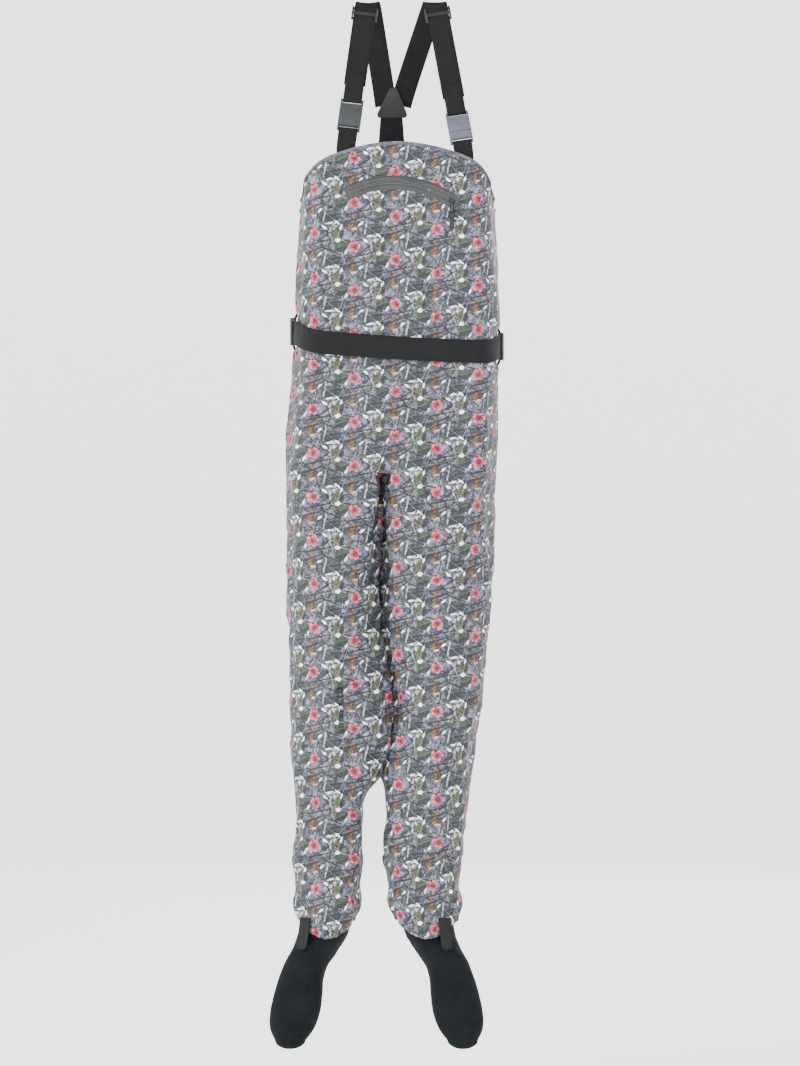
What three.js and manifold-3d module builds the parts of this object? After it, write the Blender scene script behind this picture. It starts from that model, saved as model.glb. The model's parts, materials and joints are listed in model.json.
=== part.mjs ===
// Chest waders: a hollow bib and two legs of printed laminate, ankle gaiters over neoprene socks,
// webbing braces with side-release buckles, a waist belt, and a pocket with a curved zip.
// Millimetres. +Z is up and -Y is the front. The origin is on the line that the braces hang from,
// level with the top of their folds. Left and right are as seen from the front.

import * as THREE from 'three';
import { mergeVertices } from 'three/addons/utils/BufferGeometryUtils.js';
import Module from 'manifold-3d';

const wasm = await Module();
wasm.setup();

// ---- Thicknesses and clearances ----
const GAP = 0.3;               // between pieces that touch
const FABRIC = 1.6;            // printed laminate with its membrane and lining
const NEOPRENE = 4;
const LINING = 1;
const BINDING = 1;
const WEBBING = 2;
const PATCH = 1.2;
const ELASTIC = 1.2;

// ---- Heights, measured down from the top of the braces ----
const BIB_DROP = 252;          // top of the front edge
const BIB_SHOULDER = 118;      // from there down to its corners at the side seams
const BIB_CORNER = 0.58;       // share of that fall that lies in the corners themselves
const BACK_DROP = 335;         // top of the back edge
const CROTCH_DROP = 826;
const LEG_LENGTH = 674;        // crotch to the seam of the sock
const GAITER_LENGTH = 100;     // that seam to the hem at the sides
const HEM_DIP = 36;            // how much lower the hem hangs in front
const SOCK_LENGTH = 226;       // gaiter hem to the toe

// ---- Garment widths and depths ----
const HALF_WIDTH = 175;        // half of the bib's width
const CHEST_DEPTH = 105;       // half of the depth, front to back
const CROTCH_DEPTH = 92;
const ANKLE_DEPTH = 56;
const HEM_DEPTH = 53;
const SIDE_ROUND = 37;         // how far the front's flat stops short of the side seam
const LEG_GAP = 1.2;           // between the two legs
const LEFT_HEM = { centre: -121, half: 51 };
const RIGHT_HEM = { centre: 53, half: 55 };
const BINDING_WIDTH = 11;
const BINDING_CLEAR = 0.7;     // the binding bridges the panel's curve

// Side seams and inseams: [share of the way down, share of HALF_WIDTH].
const TRUNK_LEFT = [[0, -0.954], [0.33, -0.977], [0.64, -1.011], [0.87, -1.057], [1, -1.063]];
const TRUNK_RIGHT = [[0, 0.983], [0.33, 1.017], [0.64, 1], [0.87, 0.989], [1, 0.98]];
const LEFT_OUTSEAM = [[0, -1.063], [0.31, -1.074], [0.7, -1.046], [0.9, -0.983], [1, -1.017]];
const RIGHT_OUTSEAM = [[0, 0.98], [0.27, 0.943], [0.48, 0.903], [0.7, 0.783], [1, 0.623]];
const INSEAM = [[0, -0.129], [0.34, -0.149], [0.48, -0.097], [0.6, -0.02], [0.69, -0.051], [0.77, -0.14]];
const LEFT_INSEAM = [[0.77, -0.14], [0.82, -0.26], [0.87, -0.32], [1, -0.331]];
const RIGHT_INSEAM = [[0.77, -0.14], [0.82, -0.112], [1, -0.109]];
const TRUNK_DEPTHS = [[0, CHEST_DEPTH], [0.4, CHEST_DEPTH], [0.5, CHEST_DEPTH], [1, CROTCH_DEPTH]];
const LEG_DEPTHS = [[0, CROTCH_DEPTH], [0.3, 84], [0.6, 74], [0.85, 64], [1, ANKLE_DEPTH]];
const FULL_ROUND = 0.48;       // of the leg's width, where its section is an ellipse
const INNER_ROUND = 14;        // of the inseam's corners at the crotch
const ROUNDING = [[0, 0], [0.4, 1], [1, 1]];

// Neoprene sock: share of SOCK_LENGTH below the hem, then millimetres.
const SOCK_RINGS = [
  { at: 0, out: 0, half: 45, y: 0, depth: 46, tilt: 0 },
  { at: 0.15, out: 8, half: 43, y: 2, depth: 48, tilt: 8 },
  { at: 0.27, out: 22, half: 40, y: 2, depth: 51, tilt: 18 },
  { at: 0.37, out: 36, half: 38, y: -4, depth: 50, tilt: 26 },
  { at: 0.48, out: 45, half: 39, y: -14, depth: 44, tilt: 28 },
  { at: 0.6, out: 50, half: 42, y: -25, depth: 37, tilt: 28 },
  { at: 0.73, out: 55, half: 43, y: -36, depth: 31, tilt: 28 },
  { at: 0.85, out: 60, half: 38, y: -46, depth: 25, tilt: 28 },
  { at: 0.94, out: 63, half: 26, y: -53, depth: 17, tilt: 28 },
];
const SOCK_TIP = { out: 64, y: -58 };
const SOCK_OVERLAP = 22;       // how far the sock's top stands up inside the leg

// ---- Braces ----
const BAR_RADIUS = 7;          // bar or peg that the braces hang over
const BRACE_WIDTH = 38;
const BRACE_END_WIDTH = 33;    // webbing in the buckles
const LEFT_BRACE = { side: 'left', front: -53, back: -45, bottom: -87, yoke: -18, layer: -1 };
const RIGHT_BRACE = { side: 'right', front: 71, back: 64, bottom: 118, yoke: 8, layer: 1 };
const BUCKLE_DROPS = { left: 197, right: 232 };            // parting line of each buckle
const ANCHOR_DEPTH = 44;       // webbing sewn down inside the bib
const ADJUSTER_LENGTH = 24;
const ADJUSTER_REST = 16;      // its middle, down from the fold
const YOKE_DROP = 170;         // middle of the yoke that the braces meet in
const YOKE_HALF_LENGTH = 27;
const BACK_STRAP_WIDTHS = [36, 50];
const BACK_STRAP_X = -8;
const BACK_ANCHOR_LENGTH = 62;

// ---- Buckles ----
const BUCKLE = { rail: 3, malePlate: 22, femalePlate: 36, thickness: 10, skin: 2.1, bar: 1.6 };
const PRONG = { inner: 11, outer: 15, length: 21, shoulder: 6, tip: 17 };
const BUCKLE_TRAVEL = 26;      // how far the halves part before they are free
const LOOP_LENGTH = 54;        // webbing folded back from the buckle's bar
const STRAP_CLEAR = 30;        // from that bar to the end of the strap inside the fold

// ---- Waist belt ----
const BELT_WIDTH = 40;
const BELT_PATH = [[0, 577], [0.07, 577], [0.15, 587], [0.45, 606], [0.7, 615], [0.85, 611], [0.93, 603],
  [1, 603]];
const BELT_STANDOFF = 3;       // from the flat of the bib
const BELT_SLACK = 4;          // further out at the side seams
const BELT_BACK_STRAIGHT = 52; // flat behind, so that the folded end can slide along it
const BELT_BACK_DROP = 592;
const BELT_BUCKLE_X = 10;
const BELT_FLATS = 6;
const KEEPER = { width: 20, length: 84, y: 34, standoff: 9 };
const SLIDER = { depth: 22, y: -10, bar: 3, wall: 3 };

// ---- Pocket zip: an arc on the flat of the bib ----
const ZIP = { x: -5, drop: 499, radius: 177, right: 51.5, left: 117.5, band: 12, slot: 3 };
const ZIP_END = 1.4;           // degrees between the band's end and the slot's
const SLIDER_ANGLE = 54.9;
const PULL_LENGTH = 20;        // slider to the top of the tab
const PULL_CORD = 1.6;
const TAB = { width: 9, length: 26, thickness: 3 };
const POST = { radius: 1.2, head: 2.8, length: 2.6 };
const POCKET_BOTTOM = 466;

// ---- Gaiter tabs ----
const LACE_TAB = { width: 23, length: 56, top: CROTCH_DROP + LEG_LENGTH + GAITER_LENGTH };
const LACE_TABS = { left: { x: -157, turn: -38, lean: 12 }, right: { x: 84, turn: 26, lean: 12 } };

const DEGREES = Math.PI / 180;

// ---- Solids ----

function solid(points, faces) {
  const volume = faces.reduce((sum, [a, b, c]) => {
    const [p, q, r] = [points[a], points[b], points[c]];
    return sum + p.clone().cross(q).dot(r);
  }, 0);
  const turned = volume < 0 ? faces.map(([a, b, c]) => [a, c, b]) : faces;
  const geometry = new THREE.BufferGeometry();
  const numbers = points.flatMap(p => [p.x, p.y, p.z]);
  geometry.setAttribute('position', new THREE.Float32BufferAttribute(numbers, 3));
  geometry.setIndex(turned.flat());
  return geometry;
}

function quad(faces, a, b, c, d) {
  faces.push([a, b, c], [a, c, d]);
}

// A sheet between two grids of points with the same rows and columns.
function slab(outer, inner) {
  const rows = outer.length;
  const columns = outer[0].length;
  const at = (row, column, layer) => (layer * rows + row) * columns + column;
  const faces = [];
  for (let r = 0; r < rows - 1; r += 1) {
    for (let c = 0; c < columns - 1; c += 1) {
      quad(faces, at(r, c, 0), at(r + 1, c, 0), at(r + 1, c + 1, 0), at(r, c + 1, 0));
      quad(faces, at(r, c, 1), at(r, c + 1, 1), at(r + 1, c + 1, 1), at(r + 1, c, 1));
    }
    const e = columns - 1;
    quad(faces, at(r, 0, 0), at(r, 0, 1), at(r + 1, 0, 1), at(r + 1, 0, 0));
    quad(faces, at(r, e, 0), at(r + 1, e, 0), at(r + 1, e, 1), at(r, e, 1));
  }
  for (let c = 0; c < columns - 1; c += 1) {
    const e = rows - 1;
    quad(faces, at(0, c, 0), at(0, c + 1, 0), at(0, c + 1, 1), at(0, c, 1));
    quad(faces, at(e, c, 0), at(e, c, 1), at(e, c + 1, 1), at(e, c + 1, 0));
  }
  return solid([...outer.flat(), ...inner.flat()], faces);
}

// A sleeve between two stacks of closed rings, closed at its last ring if it has tips.
function sleeve(outer, inner, tips) {
  const rows = outer.length;
  const columns = outer[0].length;
  const at = (row, column, layer) => (layer * rows + row) * columns + (column % columns);
  const points = [...outer.flat(), ...inner.flat()];
  const faces = [];
  const last = rows - 1;
  for (let c = 0; c < columns; c += 1) {
    for (let r = 0; r < last; r += 1) {
      quad(faces, at(r, c, 0), at(r + 1, c, 0), at(r + 1, c + 1, 0), at(r, c + 1, 0));
      quad(faces, at(r, c, 1), at(r, c + 1, 1), at(r + 1, c + 1, 1), at(r + 1, c, 1));
    }
    quad(faces, at(0, c, 0), at(0, c + 1, 0), at(0, c + 1, 1), at(0, c, 1));
    if (tips) {
      faces.push([at(last, c, 0), points.length, at(last, c + 1, 0)]);
      faces.push([at(last, c, 1), at(last, c + 1, 1), points.length + 1]);
    } else {
      quad(faces, at(last, c, 0), at(last, c, 1), at(last, c + 1, 1), at(last, c + 1, 0));
    }
  }
  return solid(tips ? [...points, ...tips] : points, faces);
}

// Webbing along a path of { at, out }: out is the side its outer face looks to.
function ribbon(path, widths, thickness) {
  const width = i => (Array.isArray(widths) ? widths[i] : widths);
  const rows = path.map(({ at, out }, i) => {
    const before = path[Math.max(i - 1, 0)].at;
    const after = path[Math.min(i + 1, path.length - 1)].at;
    const along = after.clone().sub(before).normalize();
    const across = out.clone().cross(along).normalize();
    const normal = along.clone().cross(across);
    const edge = (side, face) => at.clone()
      .addScaledVector(across, side * width(i) / 2)
      .addScaledVector(normal, face * thickness / 2);
    return [[edge(-1, 1), edge(1, 1)], [edge(-1, -1), edge(1, -1)]];
  });
  return slab(rows.map(row => row[0]), rows.map(row => row[1]));
}

// A flat plate drawn on XZ, from y = back - thickness to y = back.
function plate(shape, thickness, back) {
  const settings = { depth: thickness, bevelEnabled: false, curveSegments: 4 };
  const geometry = new THREE.ExtrudeGeometry(shape, settings);
  return geometry.rotateX(Math.PI / 2).translate(0, back, 0);
}

function outline(points) {
  return new THREE.Shape(points.map(([x, z]) => new THREE.Vector2(x, z)));
}

function box(x0, x1, y0, y1, z0, z1) {
  return new THREE.BoxGeometry(x1 - x0, y1 - y0, z1 - z0)
    .translate((x0 + x1) / 2, (y0 + y1) / 2, (z0 + z1) / 2);
}

function toManifold(geometry) {
  const bare = geometry.clone();
  bare.deleteAttribute('normal');
  bare.deleteAttribute('uv');
  const merged = mergeVertices(bare, 1e-4);
  const mesh = new wasm.Mesh({
    numProp: 3,
    vertProperties: new Float32Array(merged.attributes.position.array),
    triVerts: new Uint32Array(merged.index.array),
  });
  return new wasm.Manifold(mesh);
}

function fromManifold(body) {
  const mesh = body.getMesh();
  const geometry = new THREE.BufferGeometry();
  geometry.setAttribute('position', new THREE.BufferAttribute(new Float32Array(mesh.vertProperties), 3));
  geometry.setIndex(new THREE.BufferAttribute(new Uint32Array(mesh.triVerts), 1));
  return geometry;
}

const join = (...pieces) => fromManifold(pieces.map(toManifold).reduce((a, b) => a.add(b)));
const cut = (...pieces) => fromManifold(pieces.map(toManifold).reduce((a, b) => a.subtract(b)));

// ---- Curves ----

// Smooth value at u through [u, value] points.
function smooth(points, u) {
  const last = points.length - 1;
  const i = Math.max(0, Math.min(last - 1, points.findIndex(p => p[0] > u) - 1));
  const k = u >= points[last][0] ? last - 1 : i;
  const slope = n => {
    const a = points[Math.max(n - 1, 0)];
    const b = points[Math.min(n + 1, last)];
    return (b[1] - a[1]) / (b[0] - a[0]);
  };
  const [u0, v0] = points[k];
  const [u1, v1] = points[k + 1];
  const h = u1 - u0;
  const t = Math.min(1, Math.max(0, (u - u0) / h));
  const [t2, t3] = [t * t, t * t * t];
  return v0 * (2 * t3 - 3 * t2 + 1) + slope(k) * h * (t3 - 2 * t2 + t)
    + v1 * (3 * t2 - 2 * t3) + slope(k + 1) * h * (t3 - t2);
}

const V = (x, y, z) => new THREE.Vector3(x, y, z);

// ---- Garment sections: side seams, depth and corner rounding at a height ----

const legEnd = CROTCH_DROP + LEG_LENGTH;
const hemDrop = legEnd + GAITER_LENGTH;

function trunkSection(drop) {
  const top = BIB_DROP + BIB_SHOULDER;
  const u = Math.max(0, (drop - top) / (CROTCH_DROP - top));
  return {
    left: HALF_WIDTH * smooth(TRUNK_LEFT, u),
    right: HALF_WIDTH * smooth(TRUNK_RIGHT, u),
    depth: smooth(TRUNK_DEPTHS, u),
    leftRound: SIDE_ROUND,
    rightRound: SIDE_ROUND,
  };
}

function legSection(side, drop) {
  const u = (drop - CROTCH_DROP) / LEG_LENGTH;
  const isLeft = side === 'left';
  const lower = isLeft ? LEFT_INSEAM : RIGHT_INSEAM;
  const inseam = HALF_WIDTH * smooth(u < lower[0][0] ? INSEAM : lower, u);
  const outseam = HALF_WIDTH * smooth(isLeft ? LEFT_OUTSEAM : RIGHT_OUTSEAM, u);
  const left = isLeft ? outseam : inseam + LEG_GAP / 2;
  const right = isLeft ? inseam - LEG_GAP / 2 : outseam;
  const rounded = smooth(ROUNDING, u);
  const full = FULL_ROUND * (right - left);
  const outer = SIDE_ROUND + (full - SIDE_ROUND) * rounded;
  const inner = INNER_ROUND + (full - INNER_ROUND) * rounded;
  return {
    left,
    right,
    depth: smooth(LEG_DEPTHS, u),
    leftRound: isLeft ? outer : inner,
    rightRound: isLeft ? inner : outer,
  };
}

function gaiterSection(side, share) {
  const leg = legSection(side, legEnd);
  const hem = side === 'left' ? LEFT_HEM : RIGHT_HEM;
  const mix = (a, b) => a + (b - a) * share;
  return {
    left: mix(leg.left, hem.centre - hem.half),
    right: mix(leg.right, hem.centre + hem.half),
    depth: mix(ANKLE_DEPTH, HEM_DEPTH),
    leftRound: mix(leg.leftRound, hem.half * 0.96),
    rightRound: mix(leg.rightRound, hem.half * 0.96),
  };
}

const CORNER_STEPS = 5;

// Half of a section's outline from the left seam to the right one; face is -1 in front, 1 behind.
function halfOutline(section, inset, face, flatSteps) {
  const left = section.left + inset;
  const right = section.right - inset;
  const depth = section.depth - inset;
  const corner = i => (i / CORNER_STEPS) * Math.PI / 2;
  const points = [];
  for (let i = 0; i <= CORNER_STEPS; i += 1) {
    const round = section.leftRound - inset;
    points.push([left + round * (1 - Math.cos(corner(i))), face * depth * Math.sin(corner(i))]);
  }
  const flat = [section.left + section.leftRound, section.right - section.rightRound];
  for (let i = 1; i < flatSteps; i += 1) {
    points.push([flat[0] + (flat[1] - flat[0]) * i / flatSteps, face * depth]);
  }
  for (let i = CORNER_STEPS; i >= 0; i -= 1) {
    const round = section.rightRound - inset;
    points.push([right - round * (1 - Math.cos(corner(i))), face * depth * Math.sin(corner(i))]);
  }
  return points;
}

function ring(section, inset, flatSteps) {
  const front = halfOutline(section, inset, -1, flatSteps);
  const back = halfOutline(section, inset, 1, flatSteps).reverse().slice(1, -1);
  return [...front, ...back];
}

// Height of the bib's edge over a point on the outline.
function edgeDrop(x, face) {
  const middle = (trunkSection(0).left + trunkSection(0).right) / 2;
  const reach = Math.min(1, Math.abs(x - middle) / HALF_WIDTH);
  const fall = (1 - BIB_CORNER) * reach ** 1.8 + BIB_CORNER * reach ** 12;
  const top = face < 0 ? BIB_DROP : BACK_DROP;
  return top + (BIB_DROP + BIB_SHOULDER - top) * fall;
}

// ---- Garment ----

const TRUNK_FLATS = 4;
const LEG_FLATS = 2;

function trunkGrid(face, inset, from, to, rows) {
  const columns = halfOutline(trunkSection(CROTCH_DROP), inset, face, TRUNK_FLATS).length;
  return Array.from({ length: rows }, (_, r) => Array.from({ length: columns }, (_, c) => {
    const reference = halfOutline(trunkSection(0), 0, face, TRUNK_FLATS)[c];
    const top = from(edgeDrop(reference[0], face));
    const drop = top + (to(top) - top) * r / (rows - 1);
    const [x, y] = halfOutline(trunkSection(drop), inset, face, TRUNK_FLATS)[c];
    return V(x, y + face * GAP / 2, -drop);
  }));
}

function trunkPanel(face) {
  const grid = inset => trunkGrid(face, inset, edge => edge, () => CROTCH_DROP, 9);
  return slab(grid(0), grid(FABRIC));
}

function edgeBinding(face) {
  const grid = inset => trunkGrid(face, inset, edge => edge, top => top + BINDING_WIDTH, 2);
  return slab(grid(-BINDING_CLEAR - BINDING), grid(-BINDING_CLEAR));
}

function legPanel(side, face) {
  const rows = 12;
  const grid = inset => Array.from({ length: rows }, (_, r) => {
    const drop = CROTCH_DROP + GAP + (LEG_LENGTH - GAP) * r / (rows - 1);
    return halfOutline(legSection(side, drop), inset, face, LEG_FLATS)
      .map(([x, y]) => V(x, y + face * GAP / 2, -drop));
  });
  return slab(grid(0), grid(FABRIC));
}

// The gaiter's hem dips in front.
function hemAt(side, x, y, share) {
  const hem = side === 'left' ? LEFT_HEM : RIGHT_HEM;
  const front = Math.max(0, -y / HEM_DEPTH) * (1 - 0.5 * ((x - hem.centre) / hem.half) ** 2);
  return legEnd + GAP + (GAITER_LENGTH - GAP + HEM_DIP * front) * share;
}

function gaiterRings(side, inset, shares) {
  return shares.map(share => ring(gaiterSection(side, share), inset, LEG_FLATS)
    .map(([x, y]) => V(x, y, -hemAt(side, x, y, share))));
}

function gaiter(side) {
  const shares = [0, 0.25, 0.5, 0.75, 1];
  return sleeve(gaiterRings(side, 0, shares), gaiterRings(side, FABRIC, shares));
}

function gaiterElastic(side) {
  const inset = FABRIC + GAP;
  return sleeve(gaiterRings(side, inset, [0.88, 0.985]), gaiterRings(side, inset + ELASTIC, [0.88, 0.985]));
}

// The top of the sock follows the leg's end from inside, then the foot tilts forward.
function sock(side) {
  const hem = side === 'left' ? LEFT_HEM : RIGHT_HEM;
  const away = side === 'left' ? -1 : 1;
  const angles = ring(legSection(side, legEnd), 0, LEG_FLATS).length;
  const rings = inset => {
    const inside = FABRIC + GAP + inset;
    const top = [legEnd - SOCK_OVERLAP, legEnd].map(drop => ring(legSection(side, drop), inside, LEG_FLATS)
      .map(([x, y]) => V(x, y, -drop)));
    const foot = SOCK_RINGS.map(r => Array.from({ length: angles }, (_, i) => {
      const turn = Math.PI - i / angles * 2 * Math.PI;
      const reach = -Math.sin(turn) * (r.depth - inset);
      const tilt = r.tilt * DEGREES;
      const x = hem.centre + away * r.out + Math.cos(turn) * (r.half - inset);
      return V(x, r.y + reach * Math.cos(tilt), -(hemDrop + r.at * SOCK_LENGTH) - reach * Math.sin(tilt));
    }));
    return [...top, ...foot];
  };
  const tip = inset => V(hem.centre + away * SOCK_TIP.out, SOCK_TIP.y, -(hemDrop + SOCK_LENGTH) + inset);
  return sleeve(rings(0), rings(NEOPRENE), [tip(0), tip(NEOPRENE)]);
}

// A lens of laminate that lies across the tops of the inseams.
function gusset() {
  const length = CROTCH_DEPTH - FABRIC - 2 * GAP;
  const middle = HALF_WIDTH * INSEAM[0][1];
  const shape = outline([[0, -length], [16, -length * 0.45], [16, length * 0.45], [0, length],
    [-16, length * 0.45], [-16, -length * 0.45]]);
  return new THREE.ExtrudeGeometry(shape, { depth: FABRIC, bevelEnabled: false })
    .translate(middle, 0, -CROTCH_DROP);
}

// ---- Buckles: width along X, thickness along Y, parting line at z = 0, male half below it ----

function maleHalf(webbing) {
  const half = webbing / 2 + GAP + BUCKLE.rail;
  const window = webbing / 2 + GAP;
  const end = BUCKLE.malePlate;
  const body = plate(outline([[-half, 0], [-half, -end], [half, -end], [half, 0]]), 8, 4);
  const opening = box(-window, window, -5, 5, -end - 1, -end + 8);
  const rod = new THREE.CylinderGeometry(BUCKLE.bar, BUCKLE.bar, 2 * window + 1, 12)
    .rotateZ(Math.PI / 2).translate(0, 0, -end + BUCKLE.bar);
  const tongue = plate(outline([[-4, -2], [4, -2], [4, 17], [2, 20], [-2, 20], [-4, 17]]), 4.5, 2.25);
  return join(cut(body, opening), rod, tongue);
}

function prong(side) {
  const { inner, outer, length, shoulder, tip } = PRONG;
  const edge = 19.2;
  const shape = [[inner, GAP], [outer, GAP], [outer, shoulder - 1], [edge, shoulder + 1], [edge, tip - 2],
    [outer, length], [inner + 1, length]];
  return plate(outline(shape.map(([x, z]) => [side * x, z])), 5, 2.5);
}

function femaleHalf(webbing) {
  const half = webbing / 2 + GAP + BUCKLE.rail;
  const window = webbing / 2 + GAP;
  const end = BUCKLE.femalePlate;
  const block = plate(outline([[-half, GAP], [half, GAP], [half, end], [-half, end]]),
    BUCKLE.thickness, BUCKLE.thickness / 2);
  const inside = BUCKLE.thickness / 2 - BUCKLE.skin;
  const cavity = box(-half - 1, half + 1, -inside, inside, 0, PRONG.length + 2.5);
  const opening = box(-window, window, -9, 9, end - 8, end + 1);
  const rod = new THREE.CylinderGeometry(BUCKLE.bar, BUCKLE.bar, 2 * window + 1, 12)
    .rotateZ(Math.PI / 2).translate(0, 0, end - BUCKLE.bar);
  return join(cut(block, cavity, opening), rod);
}

// Sliding three-bar adjuster: its outer bars lie behind the webbing and its middle bar in front.
function adjuster(webbing, length) {
  const rail = 3;
  const half = webbing / 2 + 2 * GAP + rail;
  const sides = [-1, 1].map(side => box(side > 0 ? half - rail : -half, side > 0 ? half : rail - half,
    -3.4, 3.4, -length / 2, length / 2));
  const reach = half - rail / 2;
  const bars = [-1, 1].map(side => box(-reach, reach, WEBBING / 2 + GAP, 3.4,
    side > 0 ? length / 2 - 5 : -length / 2, side > 0 ? length / 2 : 5 - length / 2));
  const middle = box(-reach, reach, -3.4, -WEBBING / 2 - GAP, -3, 3);
  return join(...sides, ...bars, middle);
}

const loopRadius = BUCKLE.bar + GAP + WEBBING / 2;

// ---- Braces ----

// Point where a line from a target touches the bar's fold, on YZ, and the angle of its radius.
function tangent(target) {
  const radius = BAR_RADIUS + WEBBING / 2;
  const drop = radius + WEBBING / 2;
  const y = target.y;
  const z = target.z + drop;
  const distance = Math.hypot(y, z);
  const angle = Math.atan2(z, y) + Math.sign(y) * Math.acos(radius / distance);
  return { angle: (angle + 2 * Math.PI) % (2 * Math.PI), radius, drop };
}

function foldPoint(fold, angle, x) {
  return V(x, fold.radius * Math.cos(angle), fold.radius * Math.sin(angle) - fold.drop);
}

const bibTop = x => -edgeDrop(x, -1);
const anchorY = -CHEST_DEPTH + FABRIC + GAP + PATCH + GAP + WEBBING / 2;
const backStrapY = CHEST_DEPTH + BINDING_CLEAR + BINDING + 2 * GAP + PATCH + GAP + WEBBING / 2;

function frontLine(brace) {
  const target = V(brace.bottom, anchorY + loopRadius, bibTop(brace.bottom) + 6);
  const fold = tangent(target);
  const top = foldPoint(fold, fold.angle, brace.front);
  const down = target.clone().sub(top).normalize();
  const across = V(1, 0, 0).addScaledVector(down, -down.x).normalize();
  const back = down.clone().negate().cross(across).normalize();
  return { top, down, across, back, fold, target };
}

function backLine() {
  const target = V(0, backStrapY, -BACK_DROP + 4);
  const fold = tangent(target);
  const top = foldPoint(fold, fold.angle, 0);
  const down = target.clone().sub(top).normalize();
  return { top, down, out: V(0, Math.cos(fold.angle), Math.sin(fold.angle)), fold, target };
}

// Distance down a line to a height.
const reachTo = (line, drop) => (-drop - line.top.z) / line.down.z;

function onLine(line, distance, behind) {
  return line.top.clone().addScaledVector(line.down, distance).addScaledVector(line.back, behind);
}

function buckleFrame(brace) {
  const line = frontLine(brace);
  const parting = reachTo(line, BUCKLE_DROPS[brace.side]);
  const maleOnTop = brace.side === 'left';
  const upper = maleOnTop ? BUCKLE.malePlate : BUCKLE.femalePlate;
  const lower = maleOnTop ? BUCKLE.femalePlate : BUCKLE.malePlate;
  const upperBar = parting - upper + BUCKLE.bar;
  const lowerBar = parting + lower - BUCKLE.bar;
  return { line, parting, maleOnTop, upperBar, lowerBar };
}

// Webbing round a bar: up the back, over the bar and down the front, or the same upwards.
function wrap(line, bar, away) {
  const steps = 6;
  return Array.from({ length: steps + 1 }, (_, i) => {
    const turn = Math.PI * i / steps;
    const behind = Math.cos(turn);
    const over = Math.sin(turn);
    return {
      at: onLine(line, bar - away * over * loopRadius, behind * loopRadius),
      out: line.back.clone().multiplyScalar(behind).addScaledVector(line.down, -away * over),
    };
  });
}

function shoulderStrap(brace) {
  const { line, upperBar } = buckleFrame(brace);
  const back = backLine();
  const yoke = reachTo(back, YOKE_DROP);
  const front = [upperBar - STRAP_CLEAR, reachTo(line, 60), 2]
    .map(distance => ({ at: onLine(line, distance, 0), out: line.back.clone().negate() }));
  const steps = 8;
  const turn = [...Array(steps + 1).keys()].map(i => {
    const angle = line.fold.angle + (back.fold.angle - line.fold.angle) * i / steps;
    const x = brace.front + (brace.back - brace.front) * i / steps;
    return { at: foldPoint(line.fold, angle, x), out: V(0, Math.cos(angle), Math.sin(angle)) };
  });
  const layer = brace.layer * (WEBBING / 2 + GAP / 2);
  const slack = 40;
  const behind = [slack, yoke - YOKE_HALF_LENGTH, yoke + 6].map(distance => {
    const share = Math.min(1, distance / yoke);
    const at = back.top.clone().addScaledVector(back.down, distance)
      .addScaledVector(back.out, layer * Math.min(1, distance / (yoke - YOKE_HALF_LENGTH)));
    at.x = brace.back + (brace.yoke - brace.back) * share;
    return { at, out: back.out.clone() };
  });
  return ribbon([...front, ...turn, ...behind], BRACE_WIDTH, WEBBING);
}

// Webbing folded round a buckle's bar, with the strap's end between its two layers.
function endLoop(line, bar, away, width) {
  const leg = side => ({
    at: onLine(line, bar + away * LOOP_LENGTH, side * loopRadius),
    out: line.back.clone().multiplyScalar(side),
  });
  return ribbon([leg(1), ...wrap(line, bar, away), leg(-1)], width, WEBBING);
}

function strapEndLoop(brace) {
  const { line, upperBar } = buckleFrame(brace);
  return endLoop(line, upperBar, -1, BRACE_END_WIDTH);
}

function anchorStrap(brace) {
  const { line, lowerBar } = buckleFrame(brace);
  const bend = line.target.clone().addScaledVector(line.back, -loopRadius);
  const sewn = V(bend.x, anchorY, bibTop(brace.bottom) - 8);
  const end = V(bend.x, anchorY, bibTop(brace.bottom) - ANCHOR_DEPTH);
  const front = V(0, -1, 0);
  const tail = { at: onLine(line, lowerBar + 18, loopRadius), out: line.back.clone() };
  const path = [tail, ...wrap(line, lowerBar, 1), { at: bend, out: line.back.clone().negate() },
    { at: sewn, out: front }, { at: end, out: front }];
  return ribbon(path, BRACE_END_WIDTH, WEBBING);
}

function anchorPatch(brace) {
  const top = -edgeDrop(brace.bottom, -1) - 12;
  const bottom = bibTop(brace.bottom) - ANCHOR_DEPTH - 5;
  const half = BRACE_END_WIDTH / 2;
  const back = -CHEST_DEPTH + FABRIC + GAP + PATCH;
  const shape = outline([[-half, top], [-half, bottom + 6], [-half + 6, bottom], [half - 6, bottom],
    [half, bottom + 6], [half, top]]);
  return plate(shape, PATCH, back - GAP / 2).translate(brace.bottom, 0, 0);
}

// Yoke: two leather-like triangles with the brace ends and the back strap between them.
function yokePatch(side) {
  const half = YOKE_HALF_LENGTH;
  const shape = outline([[-7, half], [5, half], [24, 5 - half], [21, -half], [-27, -half], [-30, 5 - half]]);
  const inside = WEBBING + 1.5 * GAP;
  const back = side < 0 ? -inside : inside + PATCH;
  return plate(shape, PATCH, back);
}

function backStrap() {
  const line = backLine();
  const start = reachTo(line, YOKE_DROP) + 8;
  const layer = -(WEBBING / 2 + GAP / 2);
  const point = (distance, offset) => {
    const at = line.top.clone().addScaledVector(line.down, distance).addScaledVector(line.out, offset);
    at.x = BACK_STRAP_X;
    return { at, out: line.out.clone() };
  };
  const end = (drop) => ({ at: V(BACK_STRAP_X, backStrapY, -drop), out: V(0, 1, 0) });
  const path = [point(start, layer), point(reachTo(line, 260), 0), point(reachTo(line, BACK_DROP - 8), 0),
    end(BACK_DROP + 3), end(BACK_DROP + BACK_ANCHOR_LENGTH)];
  const [narrow, wide] = BACK_STRAP_WIDTHS;
  return ribbon(path, [narrow, wide, wide, wide, wide], WEBBING);
}

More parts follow.
